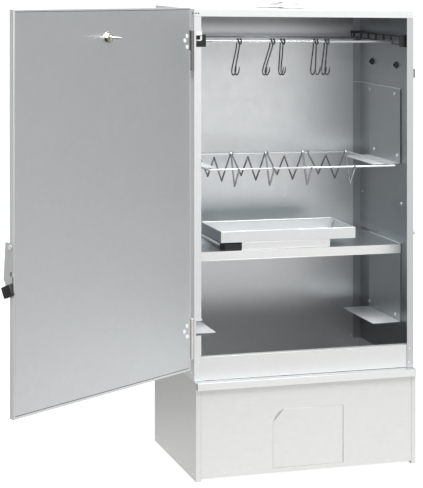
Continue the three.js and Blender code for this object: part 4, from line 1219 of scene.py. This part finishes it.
def build_world():
    world = bpy.data.worlds.new("studio")
    bpy.context.scene.world = world
    world.use_nodes = True
    w = Nodes(world.node_tree)
    direction = w.node("ShaderNodeTexCoord").outputs["Generated"]
    x, y, z = w.node("ShaderNodeSeparateXYZ", {0: direction}).outputs
    front = w.map_range(y, (-0.75, -0.2), (1.0, 0.0), smooth=True)
    left = w.map_range(x, (-0.25, 0.02), (1.0, 0.0), smooth=True)
    right = w.map_range(x, (0.55, 0.95), (0.0, 1.0), smooth=True)
    up = w.map_range(z, (0.0, 0.9), (0.0, 1.0), smooth=True)
    low = w.map_range(z, (0.05, 0.45), (1.0, 0.0), smooth=True)
    sky = w.math("ADD", SKY_BASE, w.math("MULTIPLY", front, SKY_FRONT))
    horizon = w.map_range(z, (0.02, 0.25), (1.0, 0.0), smooth=True)
    horizon = w.math("MULTIPLY", front, horizon)
    sky = w.math("SUBTRACT", sky, w.math("MULTIPLY", horizon, SKY_HORIZON))
    cut = w.math("MULTIPLY", w.math("MULTIPLY", front, left), w.math("MULTIPLY", low, SKY_LEFT))
    sky = w.math("SUBTRACT", sky, cut)
    cut = w.math("MULTIPLY", w.math("MULTIPLY", right, low), SKY_RIGHT)
    sky = w.math("SUBTRACT", sky, cut)
    sky = w.math("ADD", sky, w.math("MULTIPLY", up, SKY_UP))
    camera_ray = w.node("ShaderNodeLightPath").outputs["Is Camera Ray"]
    pick = w.node("ShaderNodeMix", {0: camera_ray, 2: sky, 3: SKY_SEEN}, data_type="FLOAT")
    background = w.node("ShaderNodeBackground", {
        "Color": (0.97, 0.99, 1.0), "Strength": pick.outputs[0]})
    w.node("ShaderNodeOutputWorld", {0: background.outputs[0]})


# ---- lights -------------------------------------------------------------------------------------


def area(name, location, target, width, depth, power):
    light = bpy.data.lights.new(name, "AREA")
    light.shape = "RECTANGLE"
    light.size = width
    light.size_y = depth
    light.energy = power
    obj = bpy.data.objects.new(name, light)
    obj.location = location
    aim = Vector(target) - Vector(location)
    obj.rotation_euler = aim.to_track_quat("-Z", "Y").to_euler()
    bpy.context.scene.collection.objects.link(obj)


build_floor()
build_world()
area("key", location=(0.3, -1.9, 3.3), target=(0, -0.1, 0.45), width=2.2, depth=1.4, power=125)
area("top", location=(0.0, 0.3, 3.2), target=(0, 0, 0.5), width=2.5, depth=2.5, power=30)

# ---- camera: a sheared view, set through the parent inverse of an empty rig ---------------------
SENSOR = 36.0                   # mm
FOCAL = 117.939836              # mm, along the level forward direction
YAW = math.radians(18.3012)     # turned right from looking straight back
DROP = -0.172592166             # fall of the view's middle for each unit forward
SHEAR = 0.018                   # rise of the picture's sideways axis
CAMERA_AT = (-1.23291, -3.23670, 1.04381 - FOOT * MM)


def build_camera():
    data = bpy.data.cameras.new("camera")
    camera = bpy.data.objects.new("camera", data)
    bpy.context.scene.collection.objects.link(camera)
    bpy.context.scene.camera = camera
    forward = Vector((math.sin(YAW), math.cos(YAW), 0))
    right = Vector((math.cos(YAW), -math.sin(YAW), 0))
    up = Vector((0, 0, 1))
    backward = -(forward + DROP * up)
    data.sensor_width = SENSOR
    data.lens = FOCAL * backward.length
    data.clip_start = 0.05
    data.clip_end = 2000
    rig = bpy.data.objects.new("camera_rig", None)
    bpy.context.scene.collection.objects.link(rig)
    camera.parent = rig
    columns = (right + SHEAR * up, up, backward, CAMERA_AT)
    camera.matrix_parent_inverse = Matrix((*zip(*columns), (0, 0, 0, 1)))


build_camera()
view = bpy.context.scene.view_settings
view.view_transform = "Standard"
view.look = "None"
view.exposure = 0.0
view.gamma = 1.0
